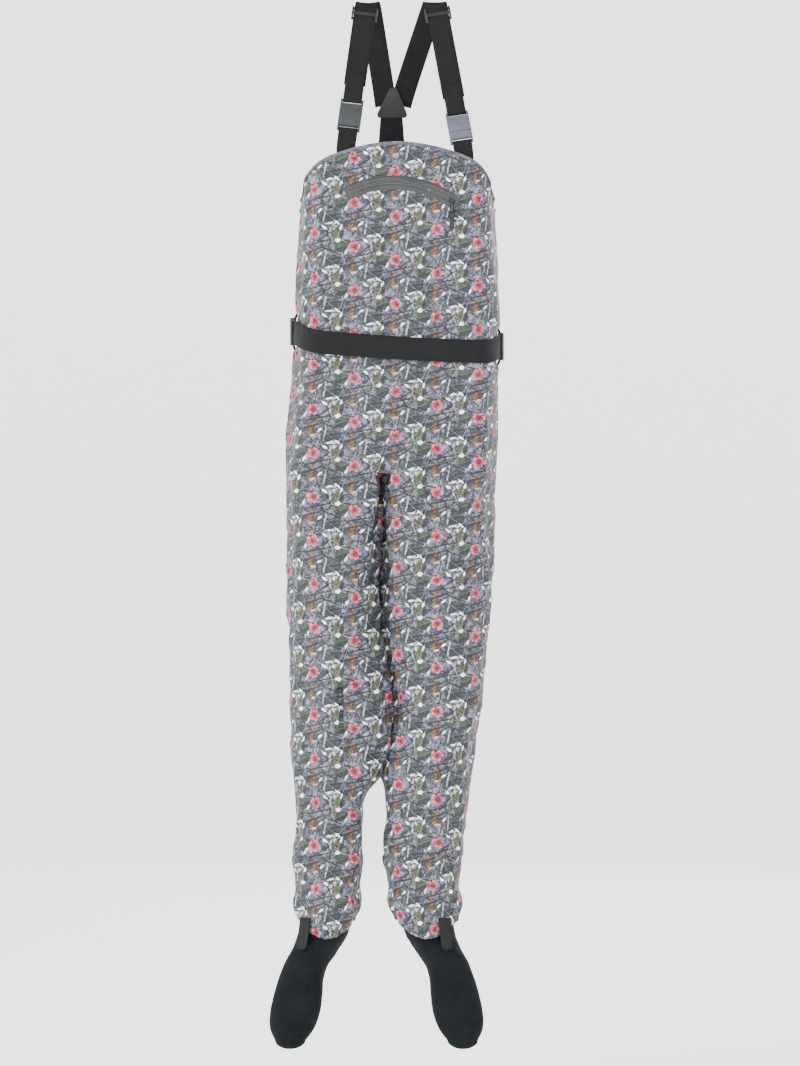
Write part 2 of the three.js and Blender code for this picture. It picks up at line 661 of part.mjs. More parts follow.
function backAnchorPatch() {
  const half = BACK_STRAP_WIDTHS[1] / 2 + 7;
  const top = -BACK_DROP - 7;
  const bottom = -BACK_DROP - BACK_ANCHOR_LENGTH - 8;
  const shape = outline([[-half, top], [half, top], [half, bottom + 9], [half - 9, bottom],
    [9 - half, bottom], [-half, bottom + 9]]);
  const face = CHEST_DEPTH + BINDING_CLEAR + BINDING + GAP;
  return plate(shape, PATCH, face + PATCH + GAP / 2).translate(BACK_STRAP_X, 0, 0);
}

// ---- Waist belt ----

const beltY = drop => trunkSection(drop).depth + BELT_STANDOFF + WEBBING / 2 + GAP / 2;

function beltDrop(face, u) {
  if (face < 0) return smooth(BELT_PATH, u);
  const [start, end] = [BELT_PATH[0][1], BELT_PATH[BELT_PATH.length - 1][1]];
  const level = BELT_BACK_DROP;
  return smooth([[0, start], [0.08, start], [0.35, level], [0.65, level], [0.92, end], [1, end]], u);
}

function beltPoint(face, c, flats) {
  const columns = 2 * CORNER_STEPS + flats;
  const u = c / columns;
  const drop = beltDrop(face, u);
  const standoff = BELT_STANDOFF + BELT_SLACK * Math.abs(2 * u - 1) ** 4 + WEBBING / 2 + GAP / 2;
  const [x, y] = halfOutline(trunkSection(drop), -standoff, face, flats)[c];
  const [x0, y0] = halfOutline(trunkSection(drop), 0, face, flats)[c];
  return { at: V(x, y, -drop), out: V(x - x0, y - y0, 0).normalize() };
}

function beltFront() {
  const columns = 2 * CORNER_STEPS + BELT_FLATS;
  const path = [...Array(columns + 1).keys()].map(c => beltPoint(-1, c, BELT_FLATS));
  return ribbon(path, BELT_WIDTH, WEBBING);
}

// The belt's buckle lies on its side: the male half towards +X, the front face outwards.
const beltBuckle = {
  top: V(BELT_BUCKLE_X, beltY(BELT_BACK_DROP) + loopRadius + 1, -BELT_BACK_DROP),
  down: V(1, 0, 0),
  across: V(0, 0, -1),
  back: V(0, -1, 0),
};
const beltMaleBar = BUCKLE.malePlate - BUCKLE.bar;
const beltFemaleBar = BUCKLE.bar - BUCKLE.femalePlate;

// The belt's back halves run from the side seams to the buckle's two bars.
function beltBack(side) {
  const flats = 4;
  const columns = 2 * CORNER_STEPS + flats;
  const order = [...Array(CORNER_STEPS + 1).keys()].map(i => (side === 'left' ? i : columns - i));
  const round = order.map(c => beltPoint(1, c, flats));
  round[0].at.y += 1;
  const outwards = V(0, 1, 0);
  if (side === 'left') {
    const inside = wrap(beltBuckle, beltFemaleBar, -1).map(p => ({ at: p.at, out: p.out.negate() }));
    const end = { at: onLine(beltBuckle, beltFemaleBar - 18, -loopRadius), out: V(0, -1, 0) };
    return ribbon([...round, ...inside, end], BELT_WIDTH, WEBBING);
  }
  const start = beltMaleBar + STRAP_CLEAR;
  const straight = [start + BELT_BACK_STRAIGHT, start]
    .map(distance => ({ at: onLine(beltBuckle, distance, 0), out: outwards }));
  return ribbon([...round, ...straight], BELT_WIDTH, WEBBING);
}

// A vertical webbing loop over the belt at a side seam.
function beltLoop(side) {
  const away = side === 'left' ? -1 : 1;
  const drop = beltDrop(-1, side === 'left' ? 0 : 1);
  const half = KEEPER.length / 2;
  const over = KEEPER.standoff;
  const stations = [[half, 0], [half - 9, 0], [half - 17, over], [17 - half, over], [9 - half, 0],
    [-half, 0]];
  const path = stations.map(([z, lift]) => {
    const section = trunkSection(drop - z);
    const edge = away < 0 ? section.left : section.right;
    const bend = Math.sqrt(1 - (KEEPER.y / section.depth) ** 2);
    const seat = edge - away * SIDE_ROUND * (1 - bend) + away * (2 * GAP + WEBBING / 2);
    const out = V(away * bend / SIDE_ROUND, KEEPER.y / section.depth ** 2, 0).normalize();
    return { at: V(seat, KEEPER.y, z - drop).addScaledVector(out, lift), out };
  });
  return ribbon(path, KEEPER.width, WEBBING);
}

// Rectangular slide round the belt, just in front of the side seam.
function beltSlider(side) {
  const away = side === 'left' ? -1 : 1;
  const { depth, bar, wall } = SLIDER;
  const half = BELT_WIDTH / 2 + 1 + wall;
  const inner = WEBBING / 2 + 0.7;
  const frame = box(-inner - bar, inner + bar, -depth / 2, depth / 2, -half, half);
  const hole = box(-inner, inner, -depth, depth, -half + wall, half - wall);
  const slot = box(away > 0 ? inner - 1 : -inner - bar - 1, away > 0 ? inner + bar + 1 : 1 - inner,
    2 - depth / 4, depth / 4 - 2, -half + wall, half - wall);
  return cut(frame, hole, slot);
}

// ---- Pocket zip ----

function arcShape(inner, outer, from, to) {
  const shape = new THREE.Shape();
  shape.absarc(0, 0, outer, from * DEGREES, to * DEGREES, false);
  shape.absarc(0, 0, inner, to * DEGREES, from * DEGREES, true);
  return shape;
}

function arcPlate(inner, outer, from, to, thickness, back, steps) {
  const geometry = new THREE.ExtrudeGeometry(arcShape(inner, outer, from, to),
    { depth: thickness, bevelEnabled: false, curveSegments: steps });
  return geometry.rotateX(Math.PI / 2).translate(ZIP.x, back, -ZIP.drop);
}

const bibFace = -CHEST_DEPTH - GAP / 2;
const ARC_STEPS = 18;
const slotFrom = ZIP.right + ZIP_END;
const slotTo = ZIP.left - ZIP_END;

// A tool that cuts the zip's slot through the bib and the band.
function zipSlot() {
  const { radius, slot } = ZIP;
  return arcPlate(radius - slot, radius + slot, slotFrom, slotTo, 20, bibFace + 10, ARC_STEPS);
}

function bibFrontPanel() {
  return cut(trunkPanel(-1), zipSlot());
}

function zipBand() {
  const band = arcPlate(ZIP.radius - ZIP.band, ZIP.radius + ZIP.band, ZIP.right, ZIP.left, BINDING,
    bibFace - GAP, ARC_STEPS);
  return cut(band, zipSlot());
}

function zipCoil(side) {
  const seam = GAP / 2;
  const edge = ZIP.slot - GAP;
  const [inner, outer] = side > 0 ? [seam, edge] : [-edge, -seam];
  return arcPlate(ZIP.radius + inner, ZIP.radius + outer, slotFrom + 0.2, slotTo - 0.2, 3.2,
    bibFace + 1.2, ARC_STEPS);
}

const coilFace = bibFace - 2;

function zipSlider() {
  const shape = outline([[-4.5, -4], [-3, -6], [3, -6], [4.5, -4], [3.4, 6], [-3.4, 6]]);
  const body = plate(shape, 2, -GAP);
  const post = new THREE.CylinderGeometry(POST.radius, POST.radius, POST.length + 2, 12)
    .translate(0, -GAP - 1 - (POST.length + 2) / 2, 0);
  const head = new THREE.CylinderGeometry(POST.head, POST.head, 1, 12)
    .translate(0, -GAP - 2 - POST.length - 0.3, 0);
  return join(body, post, head);
}

const cordY = -GAP - 2 - POST.length / 2 + 0.2;
const cordTurn = POST.radius + 2 * GAP + PULL_CORD / 2;

// Cord folded over the slider's post, its two ends at the tab.
function pullCord() {
  const drop = PULL_LENGTH;
  const arc = [0, 30, 60, 90, 120, 150, 180].map(a => V(cordTurn * Math.cos(a * DEGREES), cordY,
    cordTurn * Math.sin(a * DEGREES)));
  const points = [V(cordTurn, cordY, -drop), V(cordTurn, cordY, -drop / 2), ...arc,
    V(-cordTurn, cordY, -drop / 2), V(-cordTurn, cordY, -drop)];
  const path = new THREE.CurvePath();
  points.slice(1).forEach((point, i) => path.add(new THREE.LineCurve3(points[i], point)));
  const section = new THREE.Shape().absarc(0, 0, PULL_CORD / 2, 0, 2 * Math.PI, false);
  return new THREE.ExtrudeGeometry(section, { steps: 18, curveSegments: 4, extrudePath: path });
}

// Moulded tab, round at the end that it turns on.
function pullTab() {
  const half = TAB.thickness / 2;
  const shape = new THREE.Shape();
  shape.absarc(0, 0, half, 0, Math.PI, false);
  shape.lineTo(-half, -TAB.length + 3);
  shape.lineTo(-half + 0.6, -TAB.length);
  shape.lineTo(half - 0.6, -TAB.length);
  shape.lineTo(half, -TAB.length + 3);
  return new THREE.ExtrudeGeometry(shape, { depth: TAB.width, bevelEnabled: false, curveSegments: 5 })
    .rotateX(Math.PI / 2).rotateZ(Math.PI / 2).translate(-TAB.width / 2, 0, 0);
}

// Pocket lining: a shallow tray on the inside of the bib, its rim against the panel.
function pocketLining() {
  const columns = 9;
  const rows = 6;
  const rim = bibFace + FABRIC + GAP;
  const grid = lift => Array.from({ length: rows }, (_, r) => Array.from({ length: columns }, (_, c) => {
    const [u, v] = [c / (columns - 1), r / (rows - 1)];
    const angle = (ZIP.left + 2 + (ZIP.right - ZIP.left - 4) * u) * DEGREES;
    const reach = ZIP.radius + ZIP.band;
    const x = ZIP.x + reach * Math.cos(angle) * 0.98;
    const top = -ZIP.drop + reach * Math.sin(angle);
    const edge = r === 0 || c === 0 || r === rows - 1 || c === columns - 1;
    return V(x, rim + (edge ? 0 : 9) + lift, top + (-POCKET_BOTTOM - top) * v);
  }));
  return slab(grid(0), grid(LINING));
}

// ---- Gaiter tabs: flat webbing sewn at the top, drawn hanging from the origin ----

function laceTab() {
  const { width, length } = LACE_TAB;
  const half = width / 2;
  const shape = outline([[-half, 0], [half, 0], [half, -length + 4], [half - 4, -length],
    [4 - half, -length], [-half, -length + 4]]);
  return plate(shape, WEBBING, 0);
}

function laceTabSeat(side) {
  const { x } = LACE_TABS[side];
  const share = 0.62;
  const section = gaiterSection(side, share);
  const nearLeft = side === 'left';
  const round = nearLeft ? section.leftRound : section.rightRound;
  const centre = nearLeft ? section.left + round : section.right - round;
  const y = -section.depth * Math.sqrt(Math.max(0, 1 - ((x - centre) / round) ** 2));
  return V(x, y, -LACE_TAB.top);
}

// ---- Assembly ----

const finish = (color, roughness) => () => new THREE.MeshStandardMaterial({ color, roughness });
const camo = finish(0x7d7a80, 0.85);
const neoprene = finish(0x14181c, 0.9);
const webbing = finish(0x121214, 0.85);
const leather = finish(0x26262a, 0.6);
const greyPlastic = finish(0x3c4044, 0.45);
const palePlastic = finish(0x646973, 0.4);
const blackPlastic = finish(0x1a1b1d, 0.5);
const zipRubber = finish(0x33373a, 0.4);
const tricot = finish(0x4a4c50, 0.8);

const waders = new THREE.Group();

function add(parent, name, geometry, material) {
  const mesh = new THREE.Mesh(geometry, material());
  mesh.name = name;
  parent.add(mesh);
  return mesh;
}

function group(parent, origin, x, y, z) {
  const node = new THREE.Group();
  node.quaternion.setFromRotationMatrix(new THREE.Matrix4().makeBasis(x, y, z));
  node.position.copy(origin);
  parent.add(node);
  return node;
}

function addGarment() {
  add(waders, 'bib_front_panel', bibFrontPanel(), camo);
  add(waders, 'bib_back_panel', trunkPanel(1), camo);
  add(waders, 'bib_front_binding', edgeBinding(-1), tricot);
  add(waders, 'bib_back_binding', edgeBinding(1), tricot);
  add(waders, 'crotch_gusset', gusset(), camo);
  for (const side of ['left', 'right']) {
    add(waders, `${side}_leg_front_panel`, legPanel(side, -1), camo);
    add(waders, `${side}_leg_back_panel`, legPanel(side, 1), camo);
    add(waders, `${side}_gaiter`, gaiter(side), camo);
    add(waders, `${side}_gaiter_elastic`, gaiterElastic(side), webbing);
    add(waders, `${side}_neoprene_sock`, sock(side), neoprene);
    const { turn, lean } = LACE_TABS[side];
    const tab = add(waders, `${side}_lace_tab`, laceTab(), webbing);
    tab.rotation.order = 'ZXY';
    tab.rotation.set(-lean * DEGREES, 0, turn * DEGREES);
    const facing = V(Math.sin(turn * DEGREES), -Math.cos(turn * DEGREES), 0);
    tab.position.copy(laceTabSeat(side)).addScaledVector(facing, GAP);
  }
}

// Both halves of a buckle with its prongs; the group's +Z runs from the male to the female half.
function addBuckle(parent, name, width, maleFinish, femaleFinish) {
  add(parent, `${name}_male`, maleHalf(width), maleFinish);
  add(parent, `${name}_left_prong`, prong(-1), maleFinish);
  add(parent, `${name}_right_prong`, prong(1), maleFinish);
  add(parent, `${name}_female`, femaleHalf(width), femaleFinish);
}

function addBrace(brace, maleFinish, femaleFinish) {
  const { line, parting, maleOnTop } = buckleFrame(brace);
  const name = brace.side;
  add(waders, `${name}_shoulder_strap`, shoulderStrap(brace), webbing);
  add(waders, `${name}_strap_end_loop`, strapEndLoop(brace), webbing);
  add(waders, `${name}_anchor_strap`, anchorStrap(brace), webbing);
  add(waders, `${name}_anchor_patch`, anchorPatch(brace), tricot);
  const up = line.down.clone().negate();
  const turned = maleOnTop ? -1 : 1;
  const across = line.across.clone().multiplyScalar(turned);
  const frame = group(waders, onLine(line, parting, 0), across, line.back, up.clone().multiplyScalar(turned));
  addBuckle(frame, `${name}_buckle`, BRACE_END_WIDTH, maleFinish, femaleFinish);
  const slide = group(waders, onLine(line, ADJUSTER_REST, 0), line.across, line.back, up);
  add(slide, `${name}_strap_adjuster`, adjuster(BRACE_WIDTH, ADJUSTER_LENGTH), blackPlastic);
}

function addYoke() {
  const line = backLine();
  const middle = onLine({ ...line, back: line.out }, reachTo(line, YOKE_DROP), 0);
  const frame = group(waders, middle.setX(-4), V(1, 0, 0), line.out, line.down.clone().negate());
  add(frame, 'yoke_front_patch', yokePatch(-1), leather);
  add(frame, 'yoke_back_patch', yokePatch(1), leather);
  add(waders, 'lower_back_strap', backStrap(), webbing);
  add(waders, 'back_anchor_patch', backAnchorPatch(), leather);
}

function addBelt() {
  add(waders, 'belt_front', beltFront(), webbing);
  add(waders, 'belt_back_left', beltBack('left'), webbing);
  add(waders, 'belt_back_right', beltBack('right'), webbing);
  add(waders, 'belt_end_loop', endLoop(beltBuckle, beltMaleBar, 1, BELT_WIDTH - 2), webbing);
  const frame = group(waders, beltBuckle.top, beltBuckle.across, beltBuckle.back, V(-1, 0, 0));
  addBuckle(frame, 'belt_buckle', BELT_WIDTH, blackPlastic, blackPlastic);
  const last = 2 * CORNER_STEPS + BELT_FLATS;
  for (const [side, seam, next] of [['left', 0, 1], ['right', last, last - 1]]) {
    add(waders, `${side}_belt_loop`, beltLoop(side), webbing);
    const [from, to] = [seam, next].map(c => beltPoint(-1, c, BELT_FLATS).at);
    const run = from.clone().sub(to).normalize();
    const slider = add(waders, `${side}_belt_slider`, beltSlider(side), blackPlastic);
    slider.position.copy(from).addScaledVector(run, SLIDER.y / run.y);
    slider.rotation.z = Math.atan2(-run.x, run.y);
  }
}

function addZip() {
  add(waders, 'pocket_lining', pocketLining(), tricot);
  add(waders, 'zip_band', zipBand(), zipRubber);
  add(waders, 'zip_coil_upper', zipCoil(1), zipRubber);
  add(waders, 'zip_coil_lower', zipCoil(-1), zipRubber);
  const angle = SLIDER_ANGLE * DEGREES;
  const seat = V(ZIP.x + ZIP.radius * Math.cos(angle), coilFace, -ZIP.drop + ZIP.radius * Math.sin(angle));
  const slider = add(waders, 'zip_slider', zipSlider(), blackPlastic);
  slider.position.copy(seat);
  slider.rotation.y = -angle;
  const cord = add(waders, 'zip_pull_cord', pullCord(), webbing);
  cord.position.copy(seat);
  const tab = add(waders, 'zip_pull_tab', pullTab(), blackPlastic);
  tab.position.copy(seat).add(V(0, cordY, -PULL_LENGTH - GAP - TAB.thickness / 2));
}

addGarment();
addBrace(LEFT_BRACE, greyPlastic, greyPlastic);
addBrace(RIGHT_BRACE, palePlastic, palePlastic);
addYoke();
addBelt();
addZip();

export default waders;
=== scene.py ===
import json
import math

import bmesh
import bpy
from mathutils import Matrix, Vector, noise

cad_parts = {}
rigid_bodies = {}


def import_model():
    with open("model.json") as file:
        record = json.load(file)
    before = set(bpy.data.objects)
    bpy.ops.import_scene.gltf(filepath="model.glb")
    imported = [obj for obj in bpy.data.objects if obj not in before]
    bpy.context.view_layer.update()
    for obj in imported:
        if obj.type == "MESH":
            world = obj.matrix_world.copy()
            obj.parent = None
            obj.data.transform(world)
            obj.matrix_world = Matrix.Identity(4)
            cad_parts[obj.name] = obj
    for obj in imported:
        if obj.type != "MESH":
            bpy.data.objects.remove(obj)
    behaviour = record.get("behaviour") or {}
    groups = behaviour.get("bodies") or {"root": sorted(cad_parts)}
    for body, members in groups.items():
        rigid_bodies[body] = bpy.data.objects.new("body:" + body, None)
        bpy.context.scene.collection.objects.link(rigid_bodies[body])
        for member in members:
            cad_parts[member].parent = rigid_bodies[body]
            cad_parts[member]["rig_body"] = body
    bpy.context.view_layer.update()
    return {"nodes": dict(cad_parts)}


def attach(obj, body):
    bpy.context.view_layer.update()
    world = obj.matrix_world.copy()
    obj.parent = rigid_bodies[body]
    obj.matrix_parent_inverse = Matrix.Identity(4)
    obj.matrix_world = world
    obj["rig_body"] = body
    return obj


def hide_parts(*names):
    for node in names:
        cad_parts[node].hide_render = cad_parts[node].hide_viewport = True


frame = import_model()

MM = 0.001

# ---- Sizes in millimetres, heights measured down from the top of the braces ----
BIB_DROP, BIB_SHOULDER, BIB_CORNER, BACK_DROP = 252, 118, 0.58, 335
CROTCH_DROP, LEG_END, HEM_DROP = 826, 1500, 1600
HALF_WIDTH, CHEST_DEPTH, CROTCH_DEPTH, ANKLE_DEPTH, HEM_DEPTH = 175, 105, 92, 56, 53
SIDE_ROUND, INNER_ROUND, FULL_ROUND, LEG_GAP = 37, 14, 0.48, 1.2
HEM_DIP, FABRIC, NEOPRENE, SOCK_LENGTH = 36, 1.6, 4, 226
TRUNK_LEFT = [[0, -0.954], [0.33, -0.977], [0.64, -1.011], [0.87, -1.057], [1, -1.063]]
TRUNK_RIGHT = [[0, 0.983], [0.33, 1.017], [0.64, 1], [0.87, 0.989], [1, 0.98]]
TRUNK_DEPTHS = [[0, CHEST_DEPTH], [0.4, CHEST_DEPTH], [0.5, CHEST_DEPTH], [1, CROTCH_DEPTH]]
INSEAM = [[0, -0.129], [0.34, -0.149], [0.48, -0.097], [0.6, -0.02], [0.69, -0.051], [0.77, -0.14]]
LEG_DEPTHS = [[0, CROTCH_DEPTH], [0.3, 84], [0.6, 74], [0.85, 64], [1, ANKLE_DEPTH]]
ROUNDING = [[0, 0], [0.4, 1], [1, 1]]
LEGS = {
    "left": {
        "outseam": [[0, -1.063], [0.31, -1.074], [0.7, -1.046], [0.9, -0.983], [1, -1.017]],
        "inseam": [[0.77, -0.14], [0.82, -0.26], [0.87, -0.32], [1, -0.331]],
        "hem": (-121, 51), "away": -1,
    },
    "right": {
        "outseam": [[0, 0.98], [0.27, 0.943], [0.48, 0.903], [0.7, 0.783], [1, 0.623]],
        "inseam": [[0.77, -0.14], [0.82, -0.112], [1, -0.109]],
        "hem": (53, 55), "away": 1,
    },
}
# Sock: share of its length, then how far out, half width, y, half depth and tilt in degrees.
SOCK_RINGS = [
    (0, 0, 45, 0, 46, 0), (0.15, 8, 43, 2, 48, 8), (0.27, 22, 40, 2, 51, 18), (0.37, 36, 38, -4, 50, 26),
    (0.48, 45, 39, -14, 44, 28), (0.6, 50, 42, -25, 37, 28), (0.73, 55, 43, -36, 31, 28),
    (0.85, 60, 38, -46, 25, 28), (0.94, 63, 26, -53, 17, 28),
]
SOCK_TIP = (64, -58)
SOCK_CLEARANCE = 2.6            # between the leg's cloth and the sock that stands up inside it
BELT_LEFT_DROP, BELT_RIGHT_DROP = 577, 603
FRONT_FACE, BACK_FACE = -60, 60    # past these y the cloth is the flat of the front or the back
STITCH_RADIUS, STITCH_LENGTH, STITCH_PITCH, STITCH_ROW = 0.28, 2.1, 3.1, 10.2
STITCH_Y = -CHEST_DEPTH - 1.5
FLOOR, BOWL_FLAT, BOWL_BEND, BOWL_RIM = -1.9, 9, 4, 10     # the studio, in metres
ZIP_X, ZIP_DROP, ZIP_RADIUS, ZIP_RIGHT, ZIP_LEFT = -5, 499, 177, 51.5, 117.5


# ---- Camera: level, straight from the front ----
def add_camera():
    camera = bpy.data.cameras.new("front_camera")
    camera.lens = 173.5
    camera.sensor_width = 36
    holder = bpy.data.objects.new("front_camera", camera)
    holder.location = (0.007, -9, -0.929)
    holder.rotation_euler = (math.pi / 2, 0, 0)
    bpy.context.scene.collection.objects.link(holder)
    bpy.context.scene.camera = holder


add_camera()


# ---- Selecting and finishing ----
def link(thing):
    bpy.context.scene.collection.objects.link(thing)


def deselect():
    if bpy.context.object and bpy.context.object.mode != "OBJECT":
        bpy.ops.object.mode_set(mode="OBJECT")
    bpy.ops.object.select_all(action="DESELECT")


def make_active(piece):
    deselect()
    piece.select_set(True)
    bpy.context.view_layer.objects.active = piece


def apply_modifier(piece, kind, **settings):
    make_active(piece)
    modifier = piece.modifiers.new(kind.lower(), kind)
    for name, value in settings.items():
        setattr(modifier, name, value)
    bpy.ops.object.modifier_apply(modifier=modifier.name)


def smooth_all(piece):
    make_active(piece)
    bpy.ops.object.shade_smooth()


def edit_all(piece, operation, **settings):
    """Runs one mesh operation on the whole piece in edit mode."""
    make_active(piece)
    bpy.ops.object.mode_set(mode="EDIT")
    bpy.ops.mesh.select_all(action="SELECT")
    operation(**settings)
    bpy.ops.object.mode_set(mode="OBJECT")


def smooth_shade(piece, degrees):
    make_active(piece)
    bpy.ops.object.shade_smooth_by_angle(angle=math.radians(degrees))


def new_piece(name, points, faces):
    mesh = bpy.data.meshes.new(name)
    mesh.from_pydata([tuple(c * MM for c in p) for p in points], [], faces)
    mesh.update()
    piece = bpy.data.objects.new(name, mesh)
    link(piece)
    return piece


# ---- Zip cord: one loop round the slider's post, its ends in the tab ----
def add_zip_cord():
    centre = Vector((96.776, -110.55, -355.988))
    turn, drop = 2.6, 20
    points = [(turn, -drop), (turn + 0.3, -15), (turn + 0.4, -10), (turn + 0.2, -5)]
    for degrees in range(0, 181, 20):
        around = math.radians(degrees)
        points.append((turn * math.cos(around), turn * math.sin(around)))
    points += [(-turn - 0.2, -5), (-turn - 0.4, -10), (-turn - 0.3, -15), (-turn, -drop)]
    curve = bpy.data.curves.new("zip_cord", "CURVE")
    curve.dimensions = "3D"
    curve.bevel_depth = 0.8 * MM
    curve.bevel_resolution = 3
    curve.use_fill_caps = True
    line = curve.splines.new("POLY")
    line.points.add(len(points) - 1)
    for knot, (x, z) in zip(line.points, points):
        knot.co = ((centre.x + x) * MM, centre.y * MM, (centre.z + z) * MM, 1)
    cord = bpy.data.objects.new("zip_cord", curve)
    link(cord)
    make_active(cord)
    bpy.ops.object.convert(target="MESH")
    bpy.ops.object.shade_smooth()
    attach(cord, "zip_pull_cord")
    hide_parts("zip_pull_cord")
    return cord, [[(centre.x + x) * MM, centre.y * MM, (centre.z + z) * MM] for x, z in points]


zip_cord, cord_path = add_zip_cord()


# ---- Garment sections, as half outlines at a height ----
def smooth(points, u):
    last = len(points) - 1
    k = max([i for i in range(last) if points[i][0] <= u] or [0])

    def slope(n):
        a, b = points[max(n - 1, 0)], points[min(n + 1, last)]
        return (b[1] - a[1]) / (b[0] - a[0])

    (u0, v0), (u1, v1) = points[k], points[k + 1]
    h = u1 - u0
    t = min(1, max(0, (u - u0) / h))
    t2, t3 = t * t, t ** 3
    return (v0 * (2 * t3 - 3 * t2 + 1) + slope(k) * h * (t3 - 2 * t2 + t)
            + v1 * (3 * t2 - 2 * t3) + slope(k + 1) * h * (t3 - t2))


def mix(a, b, share):
    return a + (b - a) * share


def trunk_section(drop):
    top = BIB_DROP + BIB_SHOULDER
    u = max(0, (drop - top) / (CROTCH_DROP - top))
    return (HALF_WIDTH * smooth(TRUNK_LEFT, u), HALF_WIDTH * smooth(TRUNK_RIGHT, u),
            smooth(TRUNK_DEPTHS, u), SIDE_ROUND, SIDE_ROUND)


def leg_section(side, drop):
    leg = LEGS[side]
    u = (drop - CROTCH_DROP) / (LEG_END - CROTCH_DROP)
    inseam = HALF_WIDTH * smooth(INSEAM if u < leg["inseam"][0][0] else leg["inseam"], u)
    outseam = HALF_WIDTH * smooth(leg["outseam"], u)
    left = outseam if side == "left" else inseam + LEG_GAP / 2
    right = inseam - LEG_GAP / 2 if side == "left" else outseam
    rounded = smooth(ROUNDING, u)
    full = FULL_ROUND * (right - left)
    outer, inner = mix(SIDE_ROUND, full, rounded), mix(INNER_ROUND, full, rounded)
    rounds = (outer, inner) if side == "left" else (inner, outer)
    return (left, right, smooth(LEG_DEPTHS, u), *rounds)


def gaiter_section(side, share):
    left, right, _, left_round, right_round = leg_section(side, LEG_END)
    centre, half = LEGS[side]["hem"]
    return (mix(left, centre - half, share), mix(right, centre + half, share),
            mix(ANKLE_DEPTH, HEM_DEPTH, share), mix(left_round, half * 0.96, share),
            mix(right_round, half * 0.96, share))


def edge_drop(x, face):
    left, right, *_ = trunk_section(0)
    reach = min(1, abs(x - (left + right) / 2) / HALF_WIDTH)
    top = BIB_DROP if face < 0 else BACK_DROP
    fall = (1 - BIB_CORNER) * reach ** 1.8 + BIB_CORNER * reach ** 12
    return top + (BIB_DROP + BIB_SHOULDER - top) * fall


def hem_drop(side, x, y, share):
    centre, half = LEGS[side]["hem"]
    front = max(0, -y / HEM_DEPTH) * (1 - 0.5 * ((x - centre) / half) ** 2)
    return LEG_END + (HEM_DROP - LEG_END + HEM_DIP * front) * share


def outline_point(section, share, face, inset=0):
    """Point on a half outline, by its share of the way from the left seam to the right one."""
    left, right, depth, left_round, right_round = section
    left, right, depth = left + inset, right - inset, depth - inset
    corner = 0.22
    if share < corner:
        turn = share / corner * math.pi / 2
        return left + (left_round - inset) * (1 - math.cos(turn)), face * depth * math.sin(turn)
    if share > 1 - corner:
        turn = (1 - share) / corner * math.pi / 2
        return right - (right_round - inset) * (1 - math.cos(turn)), face * depth * math.sin(turn)
    along = (share - corner) / (1 - 2 * corner)
    return mix(left + left_round - inset, right - right_round + inset, along), face * depth


def dense_outline(section, face, inset=0):
    return [outline_point(section, i / 160, face, inset) for i in range(161)]


def lengths_along(points):
    reach = [0]
    for a, b in zip(points, points[1:]):
        reach.append(reach[-1] + math.dist(a, b))
    return reach


def resample(points, shares):
    reach = lengths_along(points)
    total, i, out = reach[-1], 0, []
    for share in shares:
        goal = share * total
        while i < len(points) - 2 and reach[i + 1] < goal:
            i += 1
        t = min(1, max(0, (goal - reach[i]) / (reach[i + 1] - reach[i])))
        out.append(tuple(mix(a, b, t) for a, b in zip(points[i], points[i + 1])))
    return out


# ---- How the cloth drapes: how far it stands in or out, in millimetres ----
def step(low, high, value):
    t = min(1, max(0, (value - low) / (high - low)))
    return t * t * (3 - 2 * t)


def crease(x, y, z):
    """A rounded ridge with sharper valleys, from -1 to 1."""
    return 1 - 2.6 * abs(noise.noise(Vector((x, y, z))))


def belt_drop(x):
    return smooth([[-186, BELT_LEFT_DROP], [-160, BELT_LEFT_DROP], [-130, 587], [-20, 606], [75, 615],
                   [130, 611], [160, BELT_RIGHT_DROP], [180, BELT_RIGHT_DROP]], x)


def still_places(x, y, drop):
    """0 where something is sewn flat on the cloth, 1 where it is free."""
    free = 1.0
    if y < FRONT_FACE:
        arm = math.hypot(x - ZIP_X, ZIP_DROP - drop)
        angle = math.degrees(math.atan2(ZIP_DROP - drop, x - ZIP_X))
        if ZIP_RIGHT - 14 < angle < ZIP_LEFT + 10:
            free *= step(14, 40, abs(arm - ZIP_RADIUS))
        for anchor in (-87, 118):
            free *= 1 - (1 - step(18, 40, abs(x - anchor))) * (1 - step(330, 370, drop))
    if y > BACK_FACE:
        free *= 1 - (1 - step(36, 60, abs(x + 8))) * (1 - step(415, 450, drop))
    if abs(x) > 120 and y > -10:
        middle = BELT_LEFT_DROP if x < 0 else BELT_RIGHT_DROP
        free *= 1 - (1 - step(24, 44, abs(y - 34))) * (1 - step(46, 70, abs(drop - middle)))
    return free


